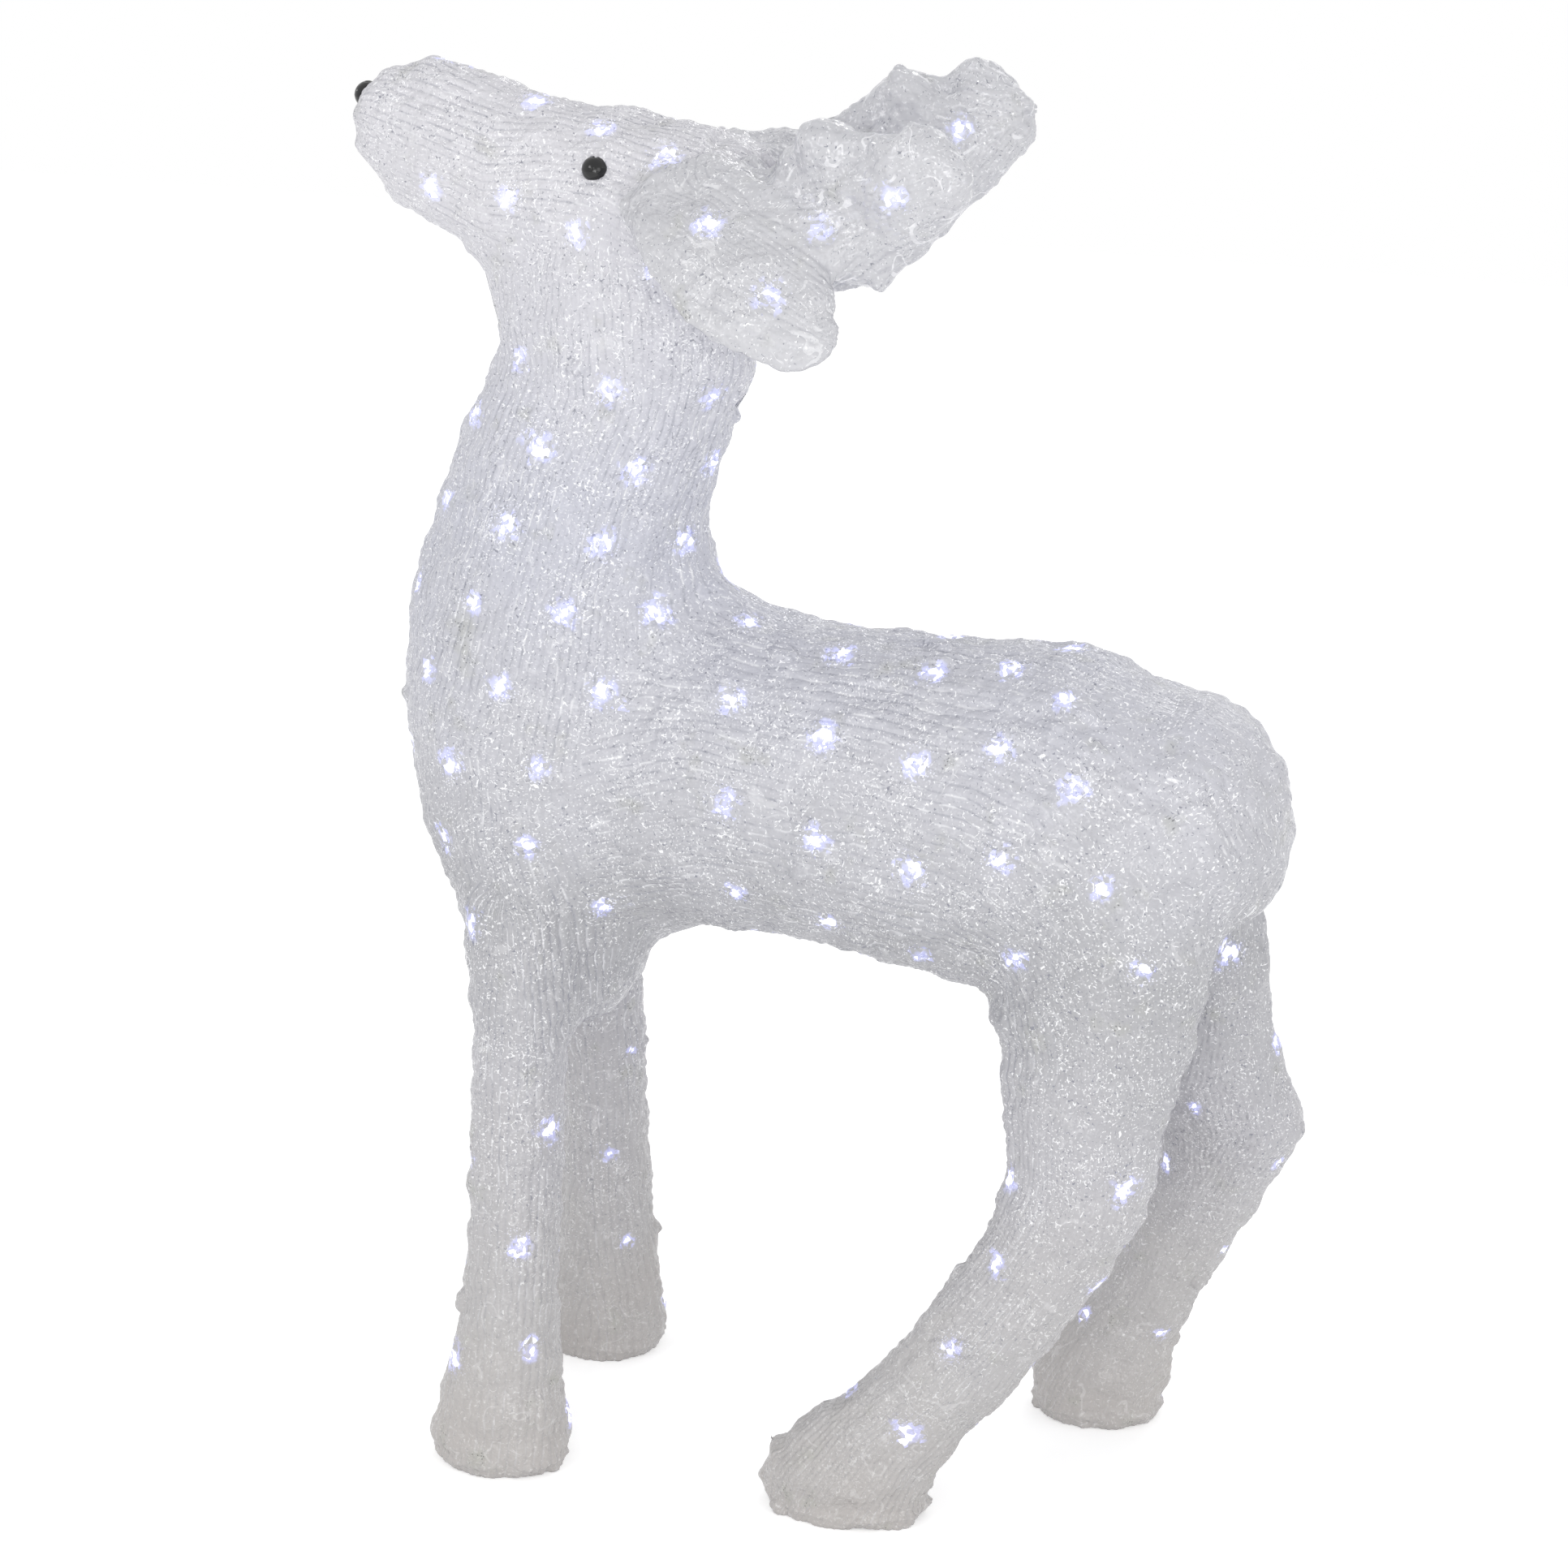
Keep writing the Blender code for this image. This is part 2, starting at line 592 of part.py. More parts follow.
def flanged_bush():
    """Bush for a wall under Z = 0: a flange on either side of it and a bore for the supply lead."""
    neck, rim = OUTLET_RADIUS, FLANGE_RADIUS
    heights = (-WALL - GAP - FLANGE_THICKNESS, -WALL - GAP, GAP, GAP + FLANGE_THICKNESS)
    profile = [(OUTLET_BORE, heights[0]), (rim, heights[0]), (rim, heights[1]), (neck, heights[1]),
               (neck, heights[2]), (rim, heights[2]), (rim, heights[3]), (OUTLET_BORE, heights[3])]
    return turned(profile, 12)


def muzzle_end(skull):
    """Frame on the middle line of the muzzle's rounded end."""
    ring = skull.ring(0) @ Matrix.Diagonal((1, 1, skull.rounds[0], 1))
    rim = Vector((-cos(NOSE_ANGLE), 0, -sin(NOSE_ANGLE)))
    out = (ring.to_3x3().inverted().transposed() @ rim).normalized()
    return Matrix.Translation(ring @ rim) @ out.to_track_quat("Z", "Y").to_matrix().to_4x4()


def hole(name, frame, radius):
    """Round cutter through the wall at a frame."""
    point, out = frame.translation, frame.col[2].to_3d()
    return cutter(name, rod(point - HOLE_REACH * out, point + HOLE_REACH * out, radius))


def build():
    """Make every piece of the fawn."""
    acrylic = principled("spun_acrylic", (0.62, 0.62, 0.66), 0.3, alpha=0.75)
    clear = principled("clear_acrylic", (0.72, 0.73, 0.76), 0.15, alpha=0.6)
    black = principled("black_bead", (0.01, 0.01, 0.012), 0.12)
    diode = principled("led_and_wire", (0.85, 0.88, 1.0), 0.3)
    rubber = principled("white_rubber", (0.75, 0.75, 0.77), 0.6)

    trunk, neck, skull = barrel(), column(), head()
    legs = {}
    for word, side in SIDES:
        legs[f"front_leg_{word}"] = front_leg(side)
    legs["hind_leg_left"] = hind_leg(-1, LEFT_HIND_HOOF_X, LEFT_HOCK_X, LEFT_KNEE_X, reach=LEFT_HOOF_REACH)
    legs["hind_leg_right"] = hind_leg(1, RIGHT_HIND_HOOF_X, RIGHT_HOCK_X, RIGHT_KNEE_X, RIGHT_SHANK_BOW)
    ears = {f"ear_{word}": ear(side) for word, side in SIDES}
    beams = {f"antler_{word}": antler_beam(side) for word, side in SIDES}
    tines = {f"antler_{word}": antler_tine(side) for word, side in SIDES}

    neck_core = cutter("neck_core", neck.mesh(-WALL))
    barrel_core = cutter("barrel_core", trunk.mesh(-WALL))
    head_core = cutter("head_core", skull.mesh(-WALL))
    neck_seat = cutter("neck_seat", neck.mesh(GAP))
    barrel_seat = cutter("barrel_seat", trunk.mesh(GAP))
    head_seat = cutter("head_seat", skull.mesh(GAP))
    front_passages = [passage(name + "_passage", legs[name], -3, -1) for name in legs if "front" in name]
    hind_passages = [passage(name + "_passage", legs[name], -3, -1) for name in legs if "hind" in name]
    crown_passages = [passage(name + "_passage", limb, 0, 1) for name, limb in {**ears, **beams}.items()]

    beads = {f"eye_{word}": (skull.skin(EYE_PLACE, side * EYE_ANGLE), EYE_RADIUS) for word, side in SIDES}
    beads["nose"] = (muzzle_end(skull), NOSE_RADIUS)
    sockets = []
    for name, (frame, radius) in beads.items():
        middle = frame @ Matrix.Translation((0, 0, -WALL / 2))
        placed(name + "_bead", bead(), middle @ Matrix.Scale(radius, 4), black)
        sockets.append(hole(name + "_hole", frame, radius + GAP))

    keel = -pi / trunk.segments
    outlet = trunk.skin(OUTLET_PLACE, keel)
    placed("cable_bush", flanged_bush(), outlet, rubber)
    bore = hole("outlet_bore", outlet, OUTLET_RADIUS + GAP)
    floor = trunk.skin(BOX_PLACE, keel, -WALL)
    half_size = Vector((BOX_LENGTH, BOX_WIDTH, BOX_HEIGHT)) / 2
    middle = floor @ Matrix.Translation((0, 0, -GAP - BOX_HEIGHT / 2))
    placed("junction_box", box(-half_size, half_size), middle, rubber)

    halves("head_shell", skull, [head_core, neck_core, *crown_passages, *sockets], acrylic)
    halves("neck_shell", neck, [head_seat, neck_core, barrel_core, *front_passages], acrylic)
    halves("body_shell", trunk, [neck_seat, barrel_core, *hind_passages, bore], acrylic)

    ground = cutter("below_sole", box((-BIG, -BIG, -BIG), (BIG, BIG, SOLE + GAP)))
    slab = cutter("sole_slab", box((-BIG, -BIG, 0), (BIG, BIG, SOLE)))
    for name, leg in legs.items():
        shell = add_object(name, leg.mesh(), acrylic)
        seats = [neck_seat, barrel_seat] if "front" in name else [barrel_seat]
        for tool in [cutter(name + "_core", leg.mesh(-WALL)), *seats, ground]:
            boolean(shell, tool)
        sole = add_object(name.replace("leg", "sole"), leg.mesh(BEAD), acrylic)
        boolean(sole, slab, "INTERSECT")

    for word, side in SIDES:
        leaf = ears[f"ear_{word}"]
        shell = add_object(f"ear_{word}", leaf.mesh(), acrylic)
        boolean(shell, cutter(f"ear_{word}_core", leaf.mesh(-WALL)))
        boolean(shell, head_seat)

        beam, tine = beams[f"antler_{word}"], tines[f"antler_{word}"]
        shell = add_object(f"antler_{word}", beam.mesh(), clear)
        boolean(shell, cutter(f"tine_{word}", tine.mesh()), "UNION")
        boolean(shell, head_seat)
        boolean(shell, cutter(f"ear_{word}_seat", leaf.mesh(GAP)))
        hollow = cutter(f"antler_{word}_core", beam.mesh(-WALL))
        boolean(hollow, cutter(f"tine_{word}_core", tine.mesh(-WALL)), "UNION")
        boolean(shell, hollow)

    stub = add_object("tail", tail().mesh(), acrylic)
    boolean(stub, barrel_seat)

    walls = walls_of("head_shell_left", "head_shell_right")
    string("head_lights", helix(skull, walls, 0.3, 4.9, LED_PITCH, HEAD_CLIMB, 0.6), diode)
    walls = walls_of("neck_shell_left", "neck_shell_right")
    string("neck_lights", helix(neck, walls, 0.2, 7.9, LED_PITCH, NECK_CLIMB, 0.3), diode)
    walls = walls_of("body_shell_left", "body_shell_right", "cable_bush", "junction_box")
    string("body_lights", helix(trunk, walls, 0.9, 5.9, LED_PITCH, BODY_CLIMB), diode)
    for name, leg in legs.items():
        seats = helix(leg, walls_of(name), 1.5, len(leg.line) - 3.1, LED_PITCH, LEG_CLIMB, 0.4)
        reach = LEAD_REACH["front" if "front" in name else "hind"]
        lead = [leg.centre(-3).lerp(leg.centre(-1), share) for share in (0.15, reach)]
        string(name + "_lights", seats, diode, lead)
    for name, leaf in ears.items():
        string(name + "_lights", helix(leaf, walls_of(name), 1.2, 3.3, None, EAR_CLIMB, pi / 2), diode)
    for name, beam in beams.items():
        string(name + "_lights", helix(beam, walls_of(name), 1.0, 3.0, None, ANTLER_CLIMB, pi / 2), diode)


def centre_on_origin():
    """Move every object so that the origin lies under the middle of the fawn."""
    graph = bpy.context.evaluated_depsgraph_get()
    pieces = [thing.evaluated_get(graph) for thing in bpy.data.objects if not thing.hide_render]
    reach = [vertex.co.x for piece in pieces for vertex in piece.data.vertices]
    for thing in bpy.data.objects:
        thing.location.x = -(min(reach) + max(reach)) / 2


for old in list(bpy.data.objects):
    bpy.data.objects.remove(old, do_unlink=True)
build()
centre_on_origin()
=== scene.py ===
from math import cos, pi, radians, sin

import bmesh
import bpy
import numpy as np
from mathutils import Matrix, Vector
from mathutils.bvhtree import BVHTree
from mathutils.kdtree import KDTree

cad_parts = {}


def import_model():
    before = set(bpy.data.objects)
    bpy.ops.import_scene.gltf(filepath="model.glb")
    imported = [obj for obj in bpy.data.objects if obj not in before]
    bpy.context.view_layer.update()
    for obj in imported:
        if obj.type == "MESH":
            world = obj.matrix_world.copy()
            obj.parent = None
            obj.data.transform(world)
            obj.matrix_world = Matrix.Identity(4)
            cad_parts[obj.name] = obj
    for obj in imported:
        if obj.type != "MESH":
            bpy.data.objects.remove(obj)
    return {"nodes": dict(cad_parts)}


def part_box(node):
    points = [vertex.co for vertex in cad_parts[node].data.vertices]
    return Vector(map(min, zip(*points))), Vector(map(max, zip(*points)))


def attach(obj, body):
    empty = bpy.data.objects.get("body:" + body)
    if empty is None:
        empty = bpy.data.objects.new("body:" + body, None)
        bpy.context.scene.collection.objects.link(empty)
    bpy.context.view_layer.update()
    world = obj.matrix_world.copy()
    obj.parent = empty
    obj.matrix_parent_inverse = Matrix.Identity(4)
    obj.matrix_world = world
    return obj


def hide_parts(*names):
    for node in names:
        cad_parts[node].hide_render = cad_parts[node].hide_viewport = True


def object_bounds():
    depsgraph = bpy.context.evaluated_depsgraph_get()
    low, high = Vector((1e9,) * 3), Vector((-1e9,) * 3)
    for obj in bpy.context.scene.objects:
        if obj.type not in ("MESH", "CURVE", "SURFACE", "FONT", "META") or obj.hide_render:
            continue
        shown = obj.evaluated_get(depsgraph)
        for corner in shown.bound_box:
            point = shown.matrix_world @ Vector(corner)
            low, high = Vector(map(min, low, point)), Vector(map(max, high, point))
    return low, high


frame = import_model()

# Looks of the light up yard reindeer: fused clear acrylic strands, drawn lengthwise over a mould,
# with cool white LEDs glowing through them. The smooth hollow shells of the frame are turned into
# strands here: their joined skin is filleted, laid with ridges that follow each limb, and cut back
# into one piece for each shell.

MM = 0.001
CAD_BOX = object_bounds()
RNG = np.random.default_rng(28)

# ---------------------------------------------------------------- sizes, in millimetres

# the skin
WALL_GRAIN = 1.8        # mesh size while shells are fused, finer than their 3 mm walls
GROWN_GRAIN = 3.5       # mesh size while they are grown, when everything is thick
GRAIN = 2.3      # mesh size of the finished skin, before its one subdivision
DEEP_FILLET = 38.0      # radius that the melted strands leave at the throat and the withers
SMALL_FILLET = 12.0     # and where legs, ears and antlers meet the rest
SETBACK = 0.5           # of the mean skin, so that its crests lie on the frame's surface

# the strands
STRAND = 4.3            # pitch of the strands
STRAND_RELIEF = 0.75    # from the crest of a strand to the groove beside it
STRAND_DRIFT = 0.35     # share of the pitch by which strands stray to either side
DRIFT_SIZE = 60         # length of such a stray
CREST_CHANGE = 0.4      # share of the relief by which crests get sharper or blunter
CREST_SIZE = 45
STRAND_TAPER = 0.6      # how far the strands crowd together where a limb gets thinner
BEAD_PITCH = 7.0        # the melted strand thickens and thins along its length
BEAD_RELIEF = 0.15

# the melt: how high its shapes stand, and how far they spread over the skin
LUMP_RELIEF, LUMP_SIZE = 0.8, 14        # unevenness over several strands
RAGGED_RELIEF, RAGGED_SIZE = 0.4, 6     # the broken skin
BULGE_RELIEF, BULGE_SIZE = 1.1, 18      # bulges of the antlers, which sagged while they were hot
DRIP_RELIEF, DRIP_SIZE = 3.0, 8         # odd drips that ran down before they set
DRIP_GROUP, DRIP_RARITY = 35, 1.3       # the places where they gather, and how seldom they come
LEG_GROWTH = 0.8                        # the front legs are wound a little thicker
WELD_RELIEF, WELD_HEIGHT = 1.7, 1.8     # the rough bead that welds the sole plate on
WELD_Z, WELD_WANDER, WELD_SIZE = 6.5, 25, 7

# odd lumps and hollows of the melt: a node, the first words of the nodes that the lump is on, where
# it lies in the first node's box (shares of its length and height), how high it stands, how far it
# spreads
LUMPS = [
    ("antler_right", "antler", 1.0, 0.95, 4.0, 8),
    ("antler_right", "antler", 0.87, 1.03, 3.0, 6),
    ("antler_right", "antler", 0.69, 0.88, -5.0, 7),
    ("antler_right", "antler", 0.36, 0.78, 3.5, 9),
    ("antler_right", "antler head", 0.16, 0.60, -5.0, 8),
    ("antler_left", "antler", 0.63, 0.16, 3.0, 3.5),
    ("head_shell_left", "head", 0.18, 1.0, 3.0, 6),
    ("head_shell_left", "head", 0.63, 0.86, 1.5, 15),
    ("head_shell_left", "head", 0.87, 0.77, -3.0, 5),
    ("head_shell_left", "head", 0.78, 0.83, 2.0, 5),
    ("head_shell_left", "head", 0.05, 0.39, 3.5, 8),
    ("neck_shell_left", "neck head", 0.23, 0.84, -3.0, 14),
    ("hind_leg_left", "hind_leg_left hind_sole_left", 0.0, 0.02, 7.0, 6),
    ("hind_leg_left", "hind_leg_left", 0.04, 0.09, -5.0, 9),
    ("hind_leg_left", "hind_leg_left", 0.40, 0.04, 2.0, 5),
    ("hind_leg_left", "hind_leg_left", 0.51, 0.46, 2.0, 4),
    ("body_shell_left", "body hind", 0.62, 0.05, 5.0, 10),
    ("body_shell_left", "body front", 0.05, 0.03, 4.0, 8),
    ("neck_shell_left", "neck", 0.02, 0.15, -2.0, 12),
    ("body_shell_left", "body neck", 0.23, 1.0, 2.0, 14),
]

# the bulbs' light on the skin
BULB_CAP = (4.5, 5.6)   # least and most area of the facet that caps a bulb, in square millimetres
BULB_GAP = 4            # from a bulb's cap to the middle of its light
GLOW = 13.0             # how far the light of one bulb spreads in the strands
LEG_TOP = 250.0         # the bulbs below this height, and nearer the middle
INNER_SIDE = 58.0       # than this, sit behind a thicker wall
INNER_SHARE = 0.62      # and their light spreads only this share as far


# ---------------------------------------------------------------- limbs of the frame

HIP = np.array([0.071, 0, 0.215])       # in metres: the trunk's strands turn down round this point
BEND_STEPS = 8


def slices(nodes, axis, count):
    """Middles and mean half sizes of sections through CAD nodes, at even steps along an axis."""
    bm = bmesh.new()
    for node in nodes:
        bm.from_mesh(frame["nodes"][node].data)
    places = [v.co[axis] for v in bm.verts]
    low, high = min(places), max(places)
    normal = Vector((0, 0, 0))
    normal[axis] = 1
    result = []
    for step in range(count):
        place = low + (high - low) * (step + 0.5) / count
        cut = bm.copy()
        found = bmesh.ops.bisect_plane(cut, geom=cut.verts[:] + cut.edges[:] + cut.faces[:],
                                       plane_co=normal * place, plane_no=normal)["geom_cut"]
        ring = np.array([g.co for g in found if isinstance(g, bmesh.types.BMVert)])
        cut.free()
        sizes = np.delete(ring.max(0) - ring.min(0), axis) / 2
        result.append(((ring.min(0) + ring.max(0)) / 2, sizes.mean()))
    bm.free()
    return result


class Spine:
    """Middle line of a limb with its radius, and which side of the body its strands start from."""

    def __init__(self, stops, side):
        self.points = np.array([point for point, _ in stops])
        self.radii = np.array([radius for _, radius in stops])
        self.side = side
        steps = np.linalg.norm(np.diff(self.points, axis=0), axis=1)
        self.lengths = np.concatenate([[0], np.cumsum(steps)])

    def nearest(self, spots):
        """How far along the line the point nearest to each spot lies."""
        best = np.full(len(spots), np.inf)
        along = np.zeros(len(spots))
        for start, end, length in zip(self.points, self.points[1:], self.lengths):
            way = end - start
            share = np.clip((spots - start) @ way / (way @ way), 0, 1)
            distance = np.linalg.norm(spots - start - share[:, None] * way, axis=1)
            nearer = distance < best
            best[nearer] = distance[nearer]
            along[nearer] = (length + share * np.linalg.norm(way))[nearer]
        return along

    def read(self, spots):
        """Place of each spot across the limb's strands and along them."""
        along = self.nearest(spots)
        centre, way = (np.stack([np.interp(along, self.lengths, line[:, k]) for k in range(3)], 1)
                       for line in (self.points, np.gradient(self.points, axis=0)))
        way /= np.linalg.norm(way, axis=1)[:, None]
        outward = np.zeros_like(spots)
        outward[:, 1] = self.side or np.where(spots[:, 1] < 0, -1.0, 1.0)
        outward -= (outward * way).sum(1)[:, None] * way
        outward /= np.linalg.norm(outward, axis=1)[:, None]
        arm = spots - centre
        angle = np.arctan2((arm * np.cross(way, outward)).sum(1), (arm * outward).sum(1))
        radius = np.interp(along, self.lengths, self.radii)
        across = angle * radius ** STRAND_TAPER * self.radii.mean() ** (1 - STRAND_TAPER)
        return across, along + (arm * way).sum(1)


def flank(word, side):
    """Spine of the trunk that turns down through the thigh into the hind leg."""
    trunk = slices(("body_shell_left", "body_shell_right"), 0, 8)
    leg = slices((f"hind_leg_{word}",), 2, 12)[::-1]
    trunk = [stop for stop in trunk if stop[0][0] < HIP[0]]
    leg = [stop for stop in leg if stop[0][2] < HIP[2]]
    (start, wide), (end, narrow) = trunk[-1], leg[0]
    bend = []
    for step in range(1, BEND_STEPS):
        share = step / BEND_STEPS
        reach = (1 - share) * (start[2] - HIP[2]) + share * (end[0] - HIP[0])
        turn = share * pi / 2
        bend.append((HIP + [reach * sin(turn), share * end[1], reach * cos(turn)],
                     (1 - share) * wide + share * narrow))
    return Spine(trunk + bend + leg, side)


def all_spines():
    """Spine of the limb that each shell belongs to, by shell."""
    head = Spine(slices(("head_shell_left", "head_shell_right"), 0, 7), 0)
    neck = Spine(slices(("neck_shell_left", "neck_shell_right"), 2, 9), 0)
    result = {"tail": Spine(slices(("tail",), 2, 4), 0)}
    for word, side in (("left", -1), ("right", 1)):
        hind = flank(word, side)
        front = Spine(slices((f"front_leg_{word}",), 2, 8)[::-1], side)
        result |= {f"head_shell_{word}": head, f"neck_shell_{word}": neck,
                   f"body_shell_{word}": hind, f"hind_leg_{word}": hind, f"hind_sole_{word}": hind,
                   f"front_leg_{word}": front, f"front_sole_{word}": front,
                   f"ear_{word}": Spine(slices((f"ear_{word}",), 0, 5), side),
                   f"antler_{word}": Spine(slices((f"antler_{word}",), 0, 5), side)}
    return result


SPINES = all_spines()
SHELLS = sorted(SPINES)


def of_parts(*words):
    """Shells whose names start with one of some words."""
    return [name for name in SHELLS if name.startswith(words)]


# ---------------------------------------------------------------- the skin

def thing(name, bm):
    """Linked object that holds a bmesh."""
    data = bpy.data.meshes.new(name)
    bm.to_mesh(data)
    bm.free()
    result = bpy.data.objects.new(name, data)
    bpy.context.scene.collection.objects.link(result)
    return result


def modified(target, kind, **settings):
    """Add a modifier and bake it into the mesh."""
    modifier = target.modifiers.new(kind.title(), kind)
    for key, value in settings.items():
        setattr(modifier, key, value)
    depsgraph = bpy.context.evaluated_depsgraph_get()
    data = bpy.data.meshes.new_from_object(target.evaluated_get(depsgraph))
    target.modifiers.clear()
    target.data = data


def outermost(target):
    """Keep the island of faces that holds the highest vertex: the skin, without the hollows."""
    bm = bmesh.new()
    bm.from_mesh(target.data)
    seen = {max(bm.verts, key=lambda v: v.co.z)}
    front = list(seen)
    while front:
        for link in front.pop().link_edges:
            for vert in link.verts:
                if vert not in seen:
                    seen.add(vert)
                    front.append(vert)
    bmesh.ops.delete(bm, geom=[v for v in bm.verts if v not in seen], context="VERTS")
    bm.to_mesh(target.data)
    bm.free()


def fused(shells, others, size):
    """One closed outer skin round some shells and some objects."""
    bm = bmesh.new()
    for data in [frame["nodes"][name].data for name in shells] + [other.data for other in others]:
        bm.from_mesh(data)
    for other in others:
        bpy.data.objects.remove(other)
    bmesh.ops.remove_doubles(bm, verts=bm.verts, dist=1e-6)
    skin = thing("skin", bm)
    modified(skin, "REMESH", mode="VOXEL", voxel_size=size * MM)
    outermost(skin)
    return skin


def melted(shells, others, radius):
    """One closed skin with round fillets in its inner corners: grown, fused again, and shrunk."""
    skin = fused(shells, others, WALL_GRAIN)
    modified(skin, "DISPLACE", strength=radius * MM, mid_level=0)
    skin = fused((), [skin], GROWN_GRAIN)
    modified(skin, "SMOOTH", factor=0.5, iterations=3)
    modified(skin, "DISPLACE", strength=-radius * MM, mid_level=0)
    return skin


def whole_skin():
    """The skin of the whole deer, fine enough to carry strands."""
    trunk = melted(of_parts("head", "neck", "body"), [], DEEP_FILLET)
    body = melted(of_parts("front", "hind", "ear", "antler"), [trunk], SMALL_FILLET)
    skin = fused(SHELLS, [body], GRAIN)
    modified(skin, "SMOOTH", factor=0.5, iterations=5)
    modified(skin, "SUBSURF", levels=1, render_levels=1)
    return skin


def table(elements, field, width, kind):
    """Array of one field of a mesh's elements, with a row for each of them."""
    values = np.empty(width * len(elements), dtype=kind)
    elements.foreach_get(field, values)
    return values.reshape(-1, width)


# ---------------------------------------------------------------- heights of the skin

def nearest_shells(points):
    """Index into SHELLS of the shell nearest to each point."""
    bm = bmesh.new()
    owner = []
    for index, name in enumerate(SHELLS):
        bm.from_mesh(frame["nodes"][name].data)
        owner += [index] * (len(bm.faces) - len(owner))
    tree = BVHTree.FromBMesh(bm)
    bm.free()
    return np.array([owner[tree.find_nearest(point)[2]] for point in points])


def shares(limbs, links, steps=8):
    """Share of each vertex in each shell: one or none, smoothed some steps along the edges."""
    count = len(limbs)
    share = np.zeros((len(SHELLS), count))
    share[limbs, np.arange(count)] = 1
    degree = np.bincount(links.ravel(), minlength=count) + 1.0
    for _ in range(steps):
        share = np.array([(row + np.bincount(links[:, 0], row[links[:, 1]], count)
                           + np.bincount(links[:, 1], row[links[:, 0]], count)) / degree
                          for row in share])
    return share


def wander(spots, size):
    """Smooth random field whose hills are about one size across and one high."""
    waves = 14
    total = np.zeros(len(spots))
    for _ in range(waves):
        way = RNG.normal(size=3)
        way *= pi / (size * MM) / np.linalg.norm(way) * RNG.uniform(0.7, 1.4)
        total += np.cos(spots @ way + RNG.uniform(0, 2 * pi))
    return total / waves ** 0.5


def strand_relief(spots, share):
    """Height of the strands at each vertex, and its place across and along them."""
    height = np.zeros(len(spots))
    lay = np.zeros((len(spots), 3), dtype=np.float32)
    drift = STRAND_DRIFT * wander(spots, DRIFT_SIZE)
    sharpness = 0.8 + CREST_CHANGE * wander(spots, CREST_SIZE)
    for index, name in enumerate(SHELLS):
        near = share[index] > 0.01
        across, along = SPINES[name].read(spots[near])
        place = across / (STRAND * MM) + drift[near]
        strand = np.floor(place)
        crest = 1 - (2 * (place - strand) - 1) ** 2
        # the sine of its number starts the beads of each strand somewhere else
        turn = along / (BEAD_PITCH * MM) + np.sin(strand * 12.9898) * 43758.5453
        bead = np.cos(2 * pi * turn) + np.cos(2.3 * pi * turn)
        rise = STRAND_RELIEF * sharpness[near] + BEAD_RELIEF * bead
        height[near] += share[index][near] * crest * rise
        own = near & (share.argmax(0) == index)
        inner = own[near]
        lay[own] = np.stack([place[inner] * STRAND * MM, along[inner], 0 * along[inner]], 1)
    return height, lay


def melt_relief(height, spots, share):
    """Add the shapes that the hot melt took to the height of the strands."""
    def part(*words):
        return share[[SHELLS.index(name) for name in of_parts(*words)]].sum(0)

    height += (LUMP_RELIEF * wander(spots, LUMP_SIZE) + RAGGED_RELIEF * wander(spots, RAGGED_SIZE)
               - SETBACK)
    height += LEG_GROWTH * part("front")
    height += BULGE_RELIEF * part("antler") * wander(spots, BULGE_SIZE)
    drip = wander(spots, DRIP_SIZE) * wander(spots, DRIP_GROUP)
    height += DRIP_RELIEF * np.clip(drip - DRIP_RARITY, 0, 1)
    for node, words, length, rise, growth, spread in LUMPS:
        low, high = (np.array(corner)[[0, 2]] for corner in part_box(node))
        far = np.linalg.norm(spots[:, [0, 2]] - low - (high - low) * [length, rise], axis=1)
        height += growth * part(*words.split()) * np.exp(-(far / (spread * MM)) ** 2)
    off = spots[:, 2] / MM - WELD_Z - wander(spots, WELD_WANDER)
    height += WELD_RELIEF * np.exp(-(off / WELD_HEIGHT) ** 2) * (0.7 + 0.5 * wander(spots, WELD_SIZE))


def bulbs():
    """Where each bulb shines through the skin."""
    least, most = BULB_CAP
    result = []
    for name, node in frame["nodes"].items():
        if name.endswith("_lights"):
            bm = bmesh.new()
            bm.from_mesh(node.data)
            bmesh.ops.remove_doubles(bm, verts=bm.verts, dist=1e-6)
            bmesh.ops.dissolve_limit(bm, angle_limit=0.02, verts=bm.verts, edges=bm.edges)
            result += [face.calc_center_median() + face.normal * BULB_GAP * MM for face in bm.faces
                       if least < face.calc_area() / MM ** 2 < most and len(face.verts) == 4]
            bm.free()
    return result


def bulb_glow(spots):
    """Light of the bulbs at each vertex: 1 right over a bulb, 0 where its reach ends."""
    glow = np.zeros(len(spots), dtype=np.float32)
    tree = KDTree(len(spots))
    for index, spot in enumerate(spots):
        tree.insert(spot, index)
    tree.balance()
    for bulb in bulbs():
        inner = bulb.z < LEG_TOP * MM and abs(bulb.y) < INNER_SIDE * MM
        reach = GLOW * RNG.uniform(0.8, 1.15) * MM * (INNER_SHARE if inner else 1)
        for _, index, distance in tree.find_range(tree.find(bulb)[0], reach):
            glow[index] = max(glow[index], 1 - distance / reach)
    return glow


# ---------------------------------------------------------------- the strand pieces

